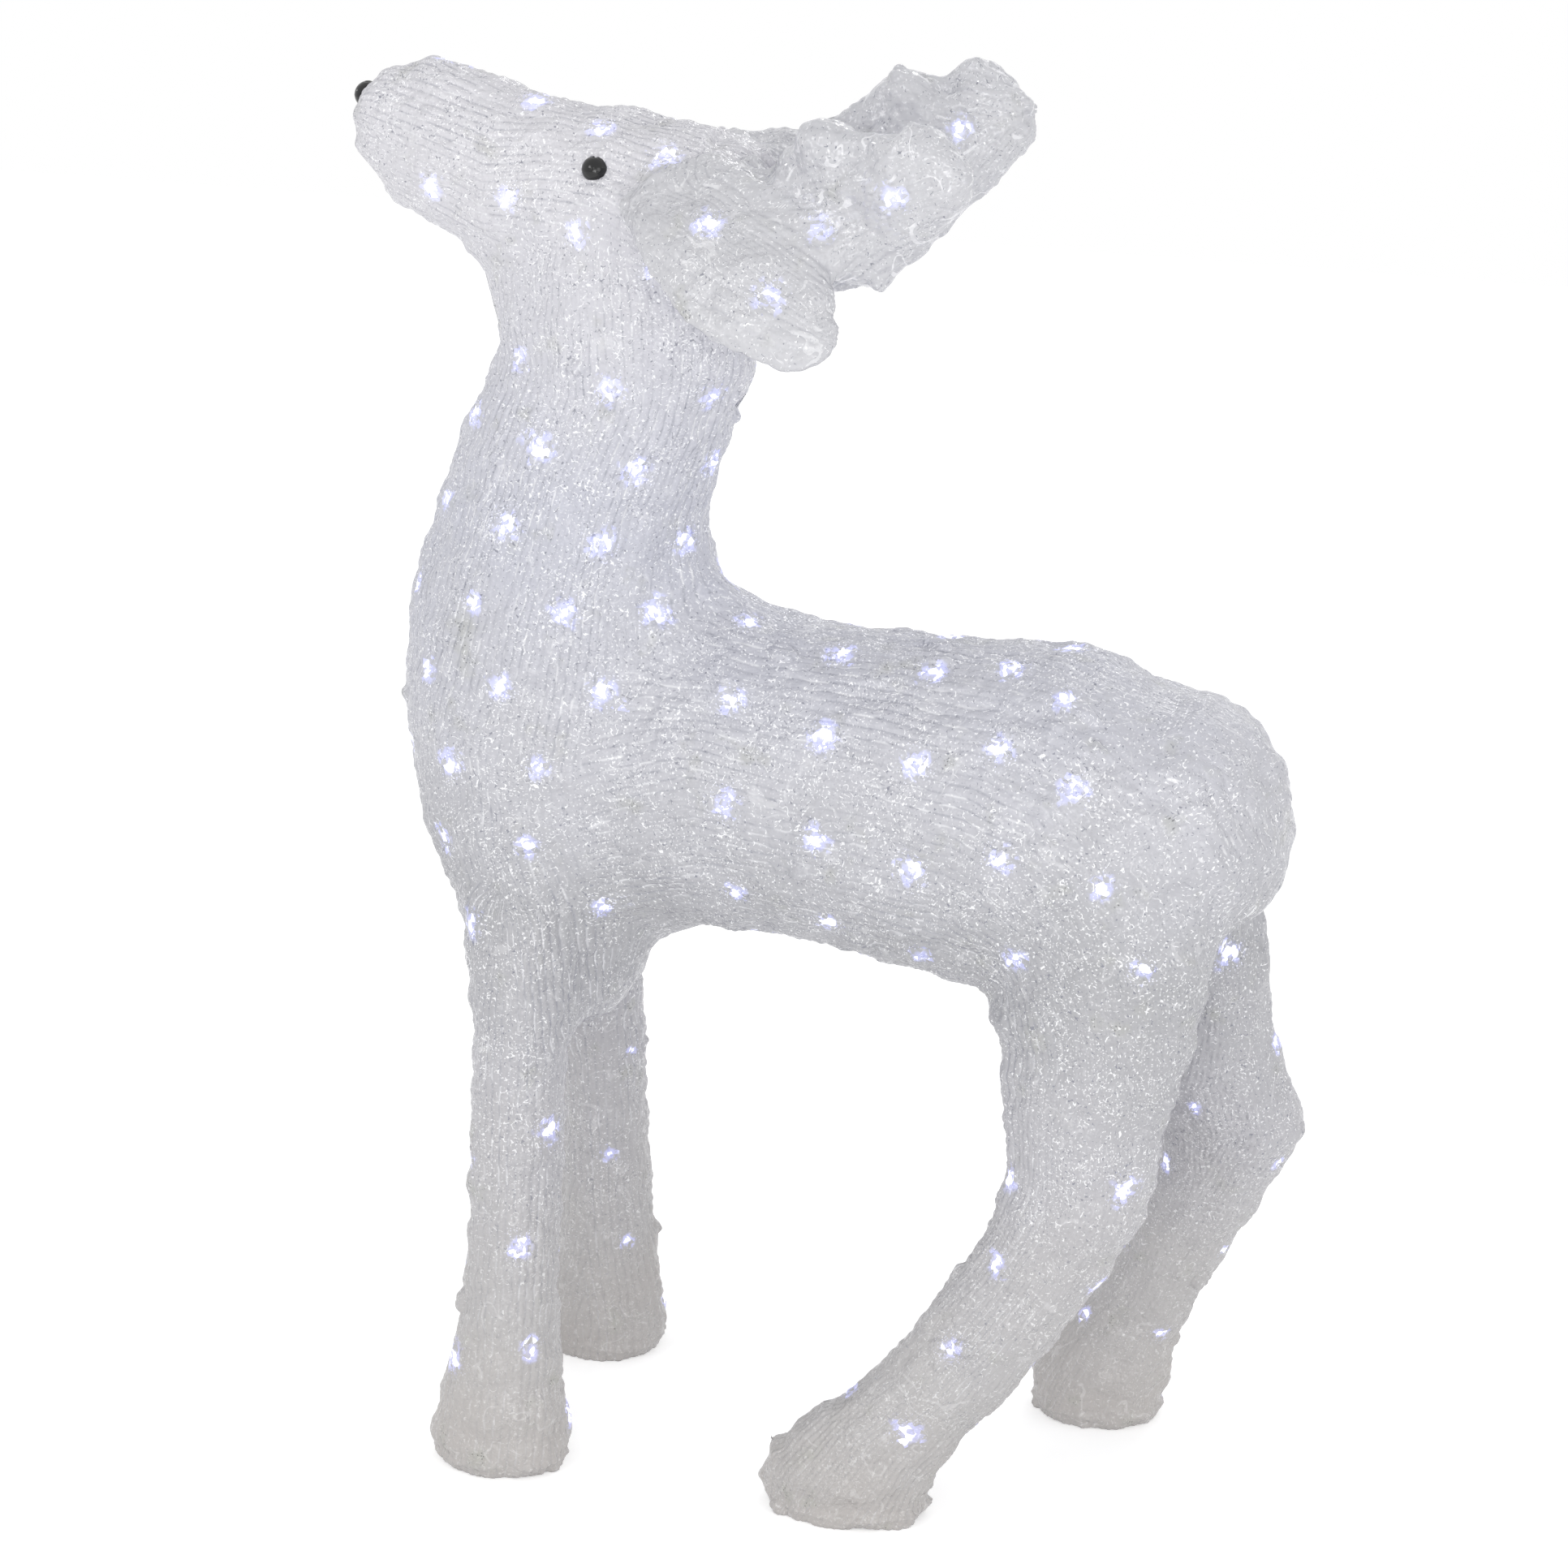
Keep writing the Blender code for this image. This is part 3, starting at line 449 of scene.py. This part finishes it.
def strands():
    """The strand pieces, one for each shell, closed and named after it."""
    skin = whole_skin()
    data = skin.data
    spots = table(data.vertices, "co", 3, np.float32).astype(float)
    normals = table(data.vertex_normals, "vector", 3, np.float32)
    links = table(data.edges, "vertices", 2, np.int32)
    corners = table(data.polygons, "vertices", 4, np.int32)

    share = shares(nearest_shells(spots), links)
    height, lay = strand_relief(spots, share)
    melt_relief(height, spots, share)
    glow = bulb_glow(spots)
    spots = np.clip(spots + normals * (height * MM)[:, None], *np.array(CAD_BOX))
    data.vertices.foreach_set("co", spots.astype(np.float32).ravel())
    data.attributes.new("lay", "FLOAT_VECTOR", "POINT").data.foreach_set("vector", lay.ravel())
    data.attributes.new("glow", "FLOAT", "POINT").data.foreach_set("value", glow)
    data.shade_smooth()
    return cut_up(skin, share[:, corners].sum(2).argmax(0).astype(np.int32))


def cut_up(skin, owners):
    """Cut the skin into one piece for each shell, by the index into SHELLS of each face's owner."""
    data = skin.data
    for name in SHELLS:
        data.materials.append(bpy.data.materials.new(name))
    data.polygons.foreach_set("material_index", owners)
    bpy.ops.object.select_all(action="DESELECT")
    skin.select_set(True)
    bpy.context.view_layer.objects.active = skin
    bpy.ops.mesh.separate(type="MATERIAL")
    pieces = {}
    for piece in bpy.context.selected_objects:
        name = piece.data.materials[piece.data.polygons[0].material_index].name
        close_up(piece, name)
        pieces[name] = piece
    return pieces


def close_up(piece, name):
    """Close a strand piece where it was cut from its neighbours, and name it after its shell."""
    bm = bmesh.new()
    bm.from_mesh(piece.data)
    rim = [edge for edge in bm.edges if edge.is_boundary]
    for vert in {vert for edge in rim for vert in edge.verts}:
        border = [edge for edge in vert.link_edges if edge.is_boundary]
        if len(border) > 2:
            bmesh.utils.vert_separate(vert, border)
    rim = [edge for edge in bm.edges if edge.is_boundary]
    for edge in rim:
        edge.smooth = False
    caps = bmesh.ops.holes_fill(bm, edges=rim, sides=0)["faces"]
    bmesh.ops.poke(bm, faces=caps)
    for face in bm.faces:
        face.material_index = 0
    bm.to_mesh(piece.data)
    bm.free()
    piece.data.materials.clear()
    piece.name = piece.data.name = f"{name}_strands"


# ---------------------------------------------------------------- finishes

# sizes of the strands' patterns, in millimetres
TALL = 700              # height at which the ramp of tones ends
CLOUD, CLOUD_LIFT = 60, 120             # size of the tone's slow changes, and how far they move it up
CALM_TO, LIVELY_FROM = 90, 260          # between these heights, the painted glitter, groove shade and glow grow to their full
RUMP = (110, 160)       # from front to back, where the grooves' painted shade and highlights fade out over the round rump
WIRE_PATCH = 17         # places where wires and their ties show through
GROOVE = 0.9            # from the middle of a groove to where its painted shade ends
STRETCH = (22, 70)      # width and length of the stretches in which the grooves' painted shade and highlights are clear
DARK_DASH = 4.5         # length of the dashes of darker painted shade in a groove
LIGHT_DASH = 14         # and of the dashes of painted highlight
DROP_ROWS = 2.6         # rows of drops to a strand
DROP_STEP = 1.6         # from drop to drop in a row
LIVELY_PLACE = 26       # places where more of the drops and facets get painted highlights
FACET_CHIP = 1.5        # size of the bits that a curved facet is broken into
POOL, POOL_BREAK = 16, 11               # bends of the painted reflection streaks, and their broken ends
BULB_FACET, BULB_RAGGED = 3.2, 5        # facets that break up the light of a bulb, and its edge


def linear(code):
    """Linear colour of an sRGB hex code."""
    parts = [int(code[i:i + 2], 16) / 255 for i in (1, 3, 5)]
    return tuple(p / 12.92 if p <= 0.04045 else ((p + 0.055) / 1.055) ** 2.4 for p in parts) + (1,)


def add(tree, kind, inputs, **settings):
    """Add a node with its settings. Each input gets a value, or an output, or a node's first one."""
    made = tree.nodes.new(kind)
    for key, value in settings.items():
        setattr(made, key, value)
    for key, value in inputs.items():
        if isinstance(value, bpy.types.Node):
            value = value.outputs[0]
        if isinstance(value, bpy.types.NodeSocket):
            tree.links.new(value, made.inputs[key])
        else:
            made.inputs[key].default_value = value
    return made


def finish_of(name):
    """New node material: its tree and its shader."""
    material = bpy.data.materials.new(name)
    material.use_nodes = True
    tree = material.node_tree
    return material, tree, tree.nodes["Principled BSDF"]


def milky_mass(tree, place, tones):
    """Tone of the mass at each height, and how lively its painted highlights, shade and glow are:
    less towards the hooves.
    """
    height = add(tree, "ShaderNodeSeparateXYZ", {"Vector": place}).outputs["Z"]
    cloud = add(tree, "ShaderNodeTexNoise", {"Vector": place, "Scale": 1 / (CLOUD * MM), "Detail": 3})
    height = add(tree, "ShaderNodeMath", {0: cloud, 1: CLOUD_LIFT * MM, 2: height},
                 operation="MULTIPLY_ADD")
    lively = add(tree, "ShaderNodeMapRange", {"Value": height, "From Min": CALM_TO * MM,
                                              "From Max": LIVELY_FROM * MM, "To Min": 0.3})
    # the clouds lift it by half of CLOUD_LIFT on average, so the ramp starts there
    height = add(tree, "ShaderNodeMapRange", {"Value": height, "From Min": CLOUD_LIFT / 2 * MM,
                                              "From Max": (CLOUD_LIFT / 2 + TALL) * MM})
    tone = add(tree, "ShaderNodeValToRGB", {"Fac": height})
    stops = tone.color_ramp.elements
    for stop, level in zip(stops, (min(tones), max(tones))):
        stop.position, stop.color = level / TALL, linear(tones[level])
    for level in sorted(tones)[1:-1]:
        stops.new(level / TALL).color = linear(tones[level])
    return tone.outputs["Color"], lively


def painted_groove_coats(tree, place, lay, lively, lines):
    """Painted shade along the grooves between strands, with dashes of darker painted shade and of
    painted highlight.

    They are clear in long stretches, and fade out over the round rump.
    """
    cell = add(tree, "ShaderNodeSeparateXYZ", {"Vector": lay}).outputs["X"]
    groove = add(tree, "ShaderNodeMath", {0: cell, 1: STRAND * MM}, operation="FLOORED_MODULO")
    groove = add(tree, "ShaderNodeMath", {0: groove, 1: STRAND * MM / 2}, operation="PINGPONG")
    groove = add(tree, "ShaderNodeMapRange", {"Value": groove, "From Max": GROOVE * MM, "To Min": 1.0,
                                              "To Max": 0.0}, interpolation_type="SMOOTHSTEP")
    wide, long = STRETCH
    stretch = add(tree, "ShaderNodeMapping", {"Vector": lay,
                                              "Scale": (1 / (wide * MM), 1 / (long * MM), 1)})
    stretch = add(tree, "ShaderNodeTexNoise", {"Vector": stretch, "Scale": 1, "Detail": 2})
    stretch = add(tree, "ShaderNodeMapRange", {"Value": stretch, "From Min": 0.34, "From Max": 0.58,
                                               "To Max": lines})
    back = add(tree, "ShaderNodeSeparateXYZ", {"Vector": place}).outputs["X"]
    rump = add(tree, "ShaderNodeMapRange", {"Value": back, "From Min": RUMP[0] * MM, "To Min": 1.0,
                                            "From Max": RUMP[1] * MM, "To Max": 0.15})
    for part in (stretch, lively, rump):
        groove = add(tree, "ShaderNodeMath", {0: groove, 1: part}, operation="MULTIPLY")
    # painted shade all along the grooves
    shade = add(tree, "ShaderNodeMath", {0: groove, 1: 0.36}, operation="MULTIPLY")
    coats = [(shade, "#8C8E97")]
    # dashes of darker painted shade, then of painted highlight
    for length, low, high, most, code in ((DARK_DASH, 0.45, 0.36, 0.36, "#85878F"),
                                          (LIGHT_DASH, 0.52, 0.6, 0.52, "#FFFFFF")):
        dash = add(tree, "ShaderNodeMapping", {"Vector": lay,
                                               "Scale": (1 / (STRAND * MM), 1 / (length * MM), 1)})
        dash = add(tree, "ShaderNodeTexNoise", {"Vector": dash, "Scale": 1, "Detail": 0})
        dash = add(tree, "ShaderNodeMapRange", {"Value": dash, "From Min": low, "From Max": high,
                                                "To Max": most})
        dash = add(tree, "ShaderNodeMath", {0: dash, 1: groove}, operation="MULTIPLY")
        coats.append((dash, code))
    return coats


def drop_coats(tree, lay, wiring, region, lively, glints):
    """Rows of drops along the strands: some carry a painted highlight, and some show a glimpse
    of the dark wire.

    The first coat is their painted highlight. With them comes how much each is highlighted
    before it is calmed.
    """
    rows = add(tree, "ShaderNodeMapping", {"Vector": lay, "Scale": (DROP_ROWS / (STRAND * MM),
                                                                    1 / (DROP_STEP * MM), 1)})
    drop = add(tree, "ShaderNodeTexVoronoi", {"Vector": rows, "Scale": 1, "Randomness": 0.75},
               voronoi_dimensions="2D")
    ball = add(tree, "ShaderNodeMapRange", {"Value": drop, "From Min": 0.28, "From Max": 0.13})
    chance = add(tree, "ShaderNodeSeparateXYZ", {"Vector": drop.outputs["Color"]})
    lit = add(tree, "ShaderNodeMath", {0: region, 1: 1.2, 2: chance.outputs["X"]},
              operation="MULTIPLY_ADD")
    lit = add(tree, "ShaderNodeMapRange", {"Value": lit, "From Min": 1.5 - glints,
                                           "From Max": 2.0 - glints, "To Max": 0.66})
    sparkle = add(tree, "ShaderNodeMath", {0: lit, 1: ball}, operation="MULTIPLY")
    # painted highlight of the drops
    painted_flash = add(tree, "ShaderNodeMath", {0: sparkle, 1: lively}, operation="MULTIPLY")

    near = add(tree, "ShaderNodeMapRange", {"Value": wiring, "From Min": 0.64, "From Max": 0.7,
                                            "To Max": 0.75})
    seldom = add(tree, "ShaderNodeMath", {0: chance.outputs["Y"], 1: 0.7}, operation="GREATER_THAN")
    speck = add(tree, "ShaderNodeMath", {0: near, 1: ball}, operation="MULTIPLY")
    speck = add(tree, "ShaderNodeMath", {0: speck, 1: seldom}, operation="MULTIPLY")
    return [(painted_flash, "#FFFFFF"), (speck, "#5A5B55")], sparkle


def painted_facet_coats(tree, place, region, lively, glints):
    """Short curved facets, 1 to 2 mm long: painted highlights, and fewer of painted shade in the
    hollow.
    """
    coats = []
    # white painted highlights, then fewer dark facets of painted shade
    for size, shift, share, code in ((2.8, 0, 0.42 * glints, "#FFFFFF"),
                                     (2.4, 5, 0.26 * glints, "#7C7E87")):
        moved = add(tree, "ShaderNodeMapping", {"Vector": place, "Location": (shift, 0, shift)})
        curl = add(tree, "ShaderNodeTexNoise", {"Vector": moved, "Scale": 1 / (size * MM),
                                                "Detail": 0})
        curl = add(tree, "ShaderNodeMath", {0: curl, 1: 0.5, 2: 0.035}, operation="COMPARE")
        chips = add(tree, "ShaderNodeTexNoise", {"Vector": moved, "Scale": 1 / (FACET_CHIP * MM),
                                                 "Detail": 0})
        chosen = add(tree, "ShaderNodeMath", {0: region, 1: 0.3, 2: chips}, operation="MULTIPLY_ADD")
        chosen = add(tree, "ShaderNodeMapRange", {"Value": chosen, "From Min": 0.86 - share,
                                                  "From Max": 0.94 - share, "To Max": 0.75})
        painted_facet = add(tree, "ShaderNodeMath", {0: curl, 1: chosen}, operation="MULTIPLY")
        painted_facet = add(tree, "ShaderNodeMath", {0: painted_facet, 1: lively}, operation="MULTIPLY")
        coats.append((painted_facet, code))
    return coats


def painted_reflection_coat(tree, place, pools):
    """Painted reflections: smooth curved white streaks, some 12 mm long, that stand for a bulb
    mirrored within.
    """
    bent = add(tree, "ShaderNodeTexNoise", {"Vector": place, "Scale": 1 / (POOL * MM), "Detail": 0,
                                            "Distortion": 0.6})
    bent = add(tree, "ShaderNodeMath", {0: bent, 1: 0.58, 2: 0.02}, operation="COMPARE")
    broken = add(tree, "ShaderNodeTexNoise", {"Vector": place, "Scale": 1 / (POOL_BREAK * MM),
                                              "Detail": 1})
    broken = add(tree, "ShaderNodeMapRange", {"Value": broken, "From Min": 0.5, "From Max": 0.58,
                                              "To Max": pools})
    return add(tree, "ShaderNodeMath", {0: bent, 1: broken}, operation="MULTIPLY"), "#FFFFFF"


def bulb_light(tree, shader, place, sparkle, lively):
    """Light of the bulbs, broken up by facets: a ragged white heart in a violet-blue fringe."""
    glow = add(tree, "ShaderNodeAttribute", {}, attribute_name="glow").outputs["Fac"]
    facet = add(tree, "ShaderNodeTexVoronoi", {"Vector": place, "Scale": 1 / (BULB_FACET * MM)})
    facet = add(tree, "ShaderNodeSeparateXYZ", {"Vector": facet.outputs["Color"]}).outputs["Y"]
    ragged = add(tree, "ShaderNodeTexNoise", {"Vector": place, "Scale": 1 / (BULB_RAGGED * MM),
                                              "Detail": 1})
    ragged = add(tree, "ShaderNodeMath", {0: ragged, 1: 0.5, 2: glow}, operation="MULTIPLY_ADD")
    ragged = add(tree, "ShaderNodeMath", {0: facet, 1: 0.55, 2: ragged}, operation="MULTIPLY_ADD")
    heart = add(tree, "ShaderNodeMapRange", {"Value": ragged, "From Min": 1.33, "From Max": 1.4})
    power = add(tree, "ShaderNodeMapRange", {"Value": ragged, "From Min": 0.98, "From Max": 1.28,
                                             "To Max": 0.42}, interpolation_type="SMOOTHSTEP")
    far = add(tree, "ShaderNodeMath", {0: glow, 1: sparkle}, operation="MULTIPLY")
    # a faint painted glow over the whole mass, painted glow on the drops near a bulb, and the heart
    for part, share in ((lively, 0.025), (far, 0.9), (heart, 0.7)):
        power = add(tree, "ShaderNodeMath", {0: part, 1: share, 2: power}, operation="MULTIPLY_ADD")
    tint = add(tree, "ShaderNodeMix", {"Factor": heart, 6: linear("#9CA4FF"), 7: linear("#F6F8FF")},
               data_type="RGBA")
    tree.links.new(tint.outputs[2], shader.inputs["Emission Color"])
    tree.links.new(power.outputs[0], shader.inputs["Emission Strength"])


def acrylic(name, tones, glints, lines, pools, crinkle, crinkle_depth, roughness, clearness=0.0):
    """Acrylic strands, extruded clear and fused hot: a milky mass of tiny facets that glitters,
    partly by the gloss of its crinkled surface and partly by painted highlights in its colour.

    Tones are its colours at some heights in millimetres, glints the share of its facets that get a
    painted highlight, lines the strength of the painted shade and highlights along the grooves,
    pools that of the painted reflections, streaks that stand for a bulb mirrored within, and
    crinkle the width in millimetres of the facets of its surface.
    """
    material, tree, shader = finish_of(name)
    place = add(tree, "ShaderNodeTexCoord", {}).outputs["Object"]
    lay = add(tree, "ShaderNodeAttribute", {}, attribute_name="lay").outputs["Vector"]
    colour, lively = milky_mass(tree, place, tones)
    region = add(tree, "ShaderNodeTexNoise", {"Vector": place, "Scale": 1 / (LIVELY_PLACE * MM),
                                              "Detail": 2})
    # the wires and their ties inside show through in patches
    wiring = add(tree, "ShaderNodeTexNoise", {"Vector": place, "Scale": 1 / (WIRE_PATCH * MM),
                                              "Detail": 3})
    wired = add(tree, "ShaderNodeMapRange", {"Value": wiring, "From Min": 0.58, "From Max": 0.8,
                                             "To Max": 0.5}, interpolation_type="SMOOTHSTEP")
    drops, sparkle = drop_coats(tree, lay, wiring, region, lively, glints)
    # each coat covers what is under it by its factor
    for factor, code in ((wired, "#AFB0A6"), *painted_groove_coats(tree, place, lay, lively, lines), *drops,
                         *painted_facet_coats(tree, place, region, lively, glints),
                         painted_reflection_coat(tree, place, pools)):
        colour = add(tree, "ShaderNodeMix", {"Factor": factor, 6: colour, 7: linear(code)},
                     data_type="RGBA").outputs[2]
    tree.links.new(colour, shader.inputs["Base Color"])
    bulb_light(tree, shader, place, sparkle, lively)

    crinkles = add(tree, "ShaderNodeTexNoise", {"Vector": place, "Scale": 1 / (crinkle * MM),
                                                "Detail": 1})
    bump = add(tree, "ShaderNodeBump", {"Height": crinkles, "Strength": 1,
                                        "Distance": crinkle_depth * MM})
    tree.links.new(bump.outputs[0], shader.inputs["Normal"])
    shader.inputs["Roughness"].default_value = roughness
    shader.inputs["IOR"].default_value = 1.49
    shader.inputs["Specular IOR Level"].default_value = 0.35 + 2 * clearness
    shader.inputs["Transmission Weight"].default_value = clearness
    return material


def bead_black():
    """Black polystyrene bead, moulded and tumbled bright, with faint clouds in its polish."""
    material, tree, shader = finish_of("black_polystyrene_bead")
    place = add(tree, "ShaderNodeTexCoord", {}).outputs["Object"]
    haze = add(tree, "ShaderNodeTexNoise", {"Vector": place, "Scale": 1 / (3 * MM), "Detail": 3})
    tone = add(tree, "ShaderNodeMix", {"Factor": haze, 6: linear("#060607"), 7: linear("#121214")},
               data_type="RGBA")
    matt = add(tree, "ShaderNodeMapRange", {"Value": haze, "To Min": 0.06, "To Max": 0.2})
    tree.links.new(tone.outputs[2], shader.inputs["Base Color"])
    tree.links.new(matt.outputs[0], shader.inputs["Roughness"])
    shader.inputs["IOR"].default_value = 1.59
    shader.inputs["Specular IOR Level"].default_value = 0.4
    return material


def white_rubber():
    """White PVC rubber, moulded matt, with a fine grain and a little grime."""
    material, tree, shader = finish_of("white_moulded_rubber")
    place = add(tree, "ShaderNodeTexCoord", {}).outputs["Object"]
    grime = add(tree, "ShaderNodeTexNoise", {"Vector": place, "Scale": 1 / (12 * MM), "Detail": 4})
    tone = add(tree, "ShaderNodeMix", {"Factor": grime, 6: linear("#E4E3DE"), 7: linear("#D3D1C9")},
               data_type="RGBA")
    grain = add(tree, "ShaderNodeTexNoise", {"Vector": place, "Scale": 1 / (0.8 * MM), "Detail": 2})
    bump = add(tree, "ShaderNodeBump", {"Height": grain, "Distance": 0.1 * MM})
    tree.links.new(tone.outputs[2], shader.inputs["Base Color"])
    tree.links.new(bump.outputs[0], shader.inputs["Normal"])
    shader.inputs["Roughness"].default_value = 0.55
    shader.inputs["IOR"].default_value = 1.53
    return material


def lit_string():
    """Thin copper lead with moulded epoxy bulbs, in a clear sheath that was drawn a little uneven."""
    material, tree, shader = finish_of("clear_sheathed_lead")
    place = add(tree, "ShaderNodeTexCoord", {}).outputs["Object"]
    uneven = add(tree, "ShaderNodeTexNoise", {"Vector": place, "Scale": 1 / (6 * MM), "Detail": 3})
    tone = add(tree, "ShaderNodeMix", {"Factor": uneven, 6: linear("#E6E8EE"), 7: linear("#B9BBAE")},
               data_type="RGBA")
    matt = add(tree, "ShaderNodeMapRange", {"Value": uneven, "To Min": 0.1, "To Max": 0.35})
    tree.links.new(tone.outputs[2], shader.inputs["Base Color"])
    tree.links.new(matt.outputs[0], shader.inputs["Roughness"])
    # a faint painted glow over the whole string, its lead and sheath as well as its bulbs
    shader.inputs["Emission Color"].default_value = linear("#E8ECFF")
    shader.inputs["Emission Strength"].default_value = 0.3
    shader.inputs["IOR"].default_value = 1.5
    return material


# tones by height: darker towards the hooves, lighter towards the head, and a band of painted shade at
# the thigh
BODY_TONES = {0: "#B8B4B1", 80: "#B8B6B5", 200: "#B8B7B9", 280: "#ABABAC", 370: "#BFBFC3",
              480: "#BFC0C8", 640: "#D1D0D3"}
FINISHES = {
    "spun": acrylic("spun_acrylic_strands", BODY_TONES, glints=0.38, lines=1.0, pools=0.15,
                    crinkle=2.6, crinkle_depth=0.9, roughness=0.15),
    "clear": acrylic("clear_acrylic_antlers", {0: "#CFCFD0", 700: "#D4D4D5"}, glints=0.34,
                     lines=0.3, pools=0.7, crinkle=6.0, crinkle_depth=2.4, roughness=0.05,
                     clearness=0.2),
    "ear": acrylic("fused_acrylic_ears", {0: "#C5C5C7", 700: "#C7C7C9"}, glints=0.25, lines=0.5,
                   pools=0.3, crinkle=3.0, crinkle_depth=0.9, roughness=0.15),
}
RUBBER = white_rubber()
STAYING = {"bead": bead_black(), "bush": RUBBER, "box": RUBBER, "lights": lit_string()}


# ---------------------------------------------------------------- the deer

def polished_bead(name, middle, radius):
    """Strung bead: a fine mould seam round its waist, and the mouths of its thread hole."""
    waist, seam, mouth, dip = 0.01, 1.012, 0.15, 0.86       # all as shares of its radius
    bm = bmesh.new()
    bmesh.ops.create_uvsphere(bm, u_segments=40, v_segments=24, radius=radius)
    for vert in bm.verts:
        if abs(vert.co.z) < waist * radius:
            vert.co *= seam
        if Vector(vert.co.xy).length < mouth * radius:
            vert.co.z *= dip
    bmesh.ops.translate(bm, verts=bm.verts, vec=middle)
    # the operator leaves the faces in another order each time, so they are sorted along one line
    bm.faces.sort(key=lambda face: face.calc_center_median() @ Vector((1.0, 3.1, 9.7)))
    bead = thing(name, bm)
    bead.data.shade_smooth()
    return bead


for name, piece in strands().items():
    kind = {"antler": "clear", "ear": "ear"}.get(name.split("_")[0], "spun")
    piece.data.materials.append(FINISHES[kind])
    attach(piece, "root")
    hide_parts(name)

for word in ("eye_left", "eye_right", "nose"):
    low, high = (Vector(corner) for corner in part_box(f"{word}_bead"))
    bead = polished_bead(f"{word}_polished_bead", (low + high) / 2, (high.z - low.z) / 2)
    bead.data.materials.append(STAYING["bead"])
    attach(bead, "root")
    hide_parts(f"{word}_bead")

for name, node in frame["nodes"].items():
    for word, material in STAYING.items():
        if word in name.split("_"):
            for socket in node.material_slots:
                socket.material = material


# ---------------------------------------------------------------- studio

# places and sizes in metres, powers in watts
AIM = Vector((-0.01895, 0, 0.3452))     # what the camera looks at
DISTANCE = 2.7                          # from how far,
TURN, CLIMB = radians(18), radians(19)  # and from how far behind the flank and above it
LAMP_AIM = Vector((0, 0, 0.35))
AMBIENT, FLOOR_LIFT = 0.76, 0.36        # plain light all round, and the floor's own where it is seen
SPARKLE_SIZE, SPARKLE_POWER = 0.09, 1.6 # small lamps that make the facets flash
SOFTBOXES = {"key_softbox": ((-1.6, -2.4, 2.2), 1.0, 10.5),
             "fill_softbox": ((2.4, -1.8, 1.2), 1.4, 8.5),
             "low_softbox": ((0.8, -2.5, 0.7), 1.0, 11),
             "back_softbox": ((0.4, 2.4, 2.0), 1.4, 8)}
SPARKLES = [(-0.9, -2.6, 1.6), (0.4, -2.7, 1.9), (1.7, -2.2, 1.0), (0.0, -2.8, 0.6),
            (0.9, -2.5, 0.3), (-0.3, 2.7, 1.6), (1.2, 2.4, 0.8), (-2.6, 0.4, 1.2), (2.7, 0.6, 1.3)]


def place_camera():
    """Camera that looks at the deer's left flank."""
    way = Vector((sin(TURN) * cos(CLIMB), -cos(TURN) * cos(CLIMB), sin(CLIMB)))
    place = AIM + DISTANCE * way
    camera = bpy.data.objects.new("camera", bpy.data.cameras.new("camera"))
    camera.data.lens = 127.49
    camera.data.sensor_width = 36
    camera.location = place
    camera.rotation_euler = (AIM - place).to_track_quat("-Z", "Y").to_euler()
    bpy.context.scene.collection.objects.link(camera)
    bpy.context.scene.camera = camera


def seen_ray(tree):
    """One for what the camera sees, straight or in gloss or through glass, and none for light."""
    path = add(tree, "ShaderNodeLightPath", {})
    seen = path.outputs["Is Camera Ray"]
    for kind in ("Is Glossy Ray", "Is Transmission Ray"):
        seen = add(tree, "ShaderNodeMath", {0: seen, 1: path.outputs[kind]}, operation="MAXIMUM")
    return seen


def stage_floor():
    """Pale floor that keeps the shadow, and reads white where no shadow falls."""
    bm = bmesh.new()
    bmesh.ops.create_grid(bm, x_segments=1, y_segments=1, size=2.5)
    floor = thing("studio_floor", bm)
    material, tree, shader = finish_of("pale_paper_floor")
    lift = add(tree, "ShaderNodeMath", {0: seen_ray(tree), 1: FLOOR_LIFT}, operation="MULTIPLY")
    shader.inputs["Base Color"].default_value = linear("#F4F4F4")
    shader.inputs["Roughness"].default_value = 0.9
    shader.inputs["Specular IOR Level"].default_value = 0
    shader.inputs["Emission Color"].default_value = (1, 1, 1, 1)
    tree.links.new(lift.outputs[0], shader.inputs["Emission Strength"])
    floor.data.materials.append(material)


def world():
    """Plain soft light all round, seen as white."""
    made = bpy.data.worlds.new("studio")
    made.use_nodes = True
    tree = made.node_tree
    level = add(tree, "ShaderNodeMapRange", {"Value": seen_ray(tree), "To Min": AMBIENT,
                                             "To Max": 1.0})
    background = tree.nodes["Background"]
    background.inputs["Color"].default_value = (1, 1, 1, 1)
    tree.links.new(level.outputs[0], background.inputs["Strength"])
    bpy.context.scene.world = made


def lamp(name, place, size, power):
    """Square lamp that faces the deer."""
    light = bpy.data.lights.new(name, "AREA")
    light.size = size
    light.energy = power
    result = bpy.data.objects.new(name, light)
    result.location = place
    result.rotation_euler = (LAMP_AIM - Vector(place)).to_track_quat("-Z", "Y").to_euler()
    bpy.context.scene.collection.objects.link(result)


place_camera()
stage_floor()
world()
for name, (place, size, power) in SOFTBOXES.items():
    lamp(name, place, size, power)
for index, place in enumerate(SPARKLES):
    lamp(f"sparkle_lamp_{index}", place, SPARKLE_SIZE, SPARKLE_POWER)

bpy.context.scene.view_settings.view_transform = "Standard"
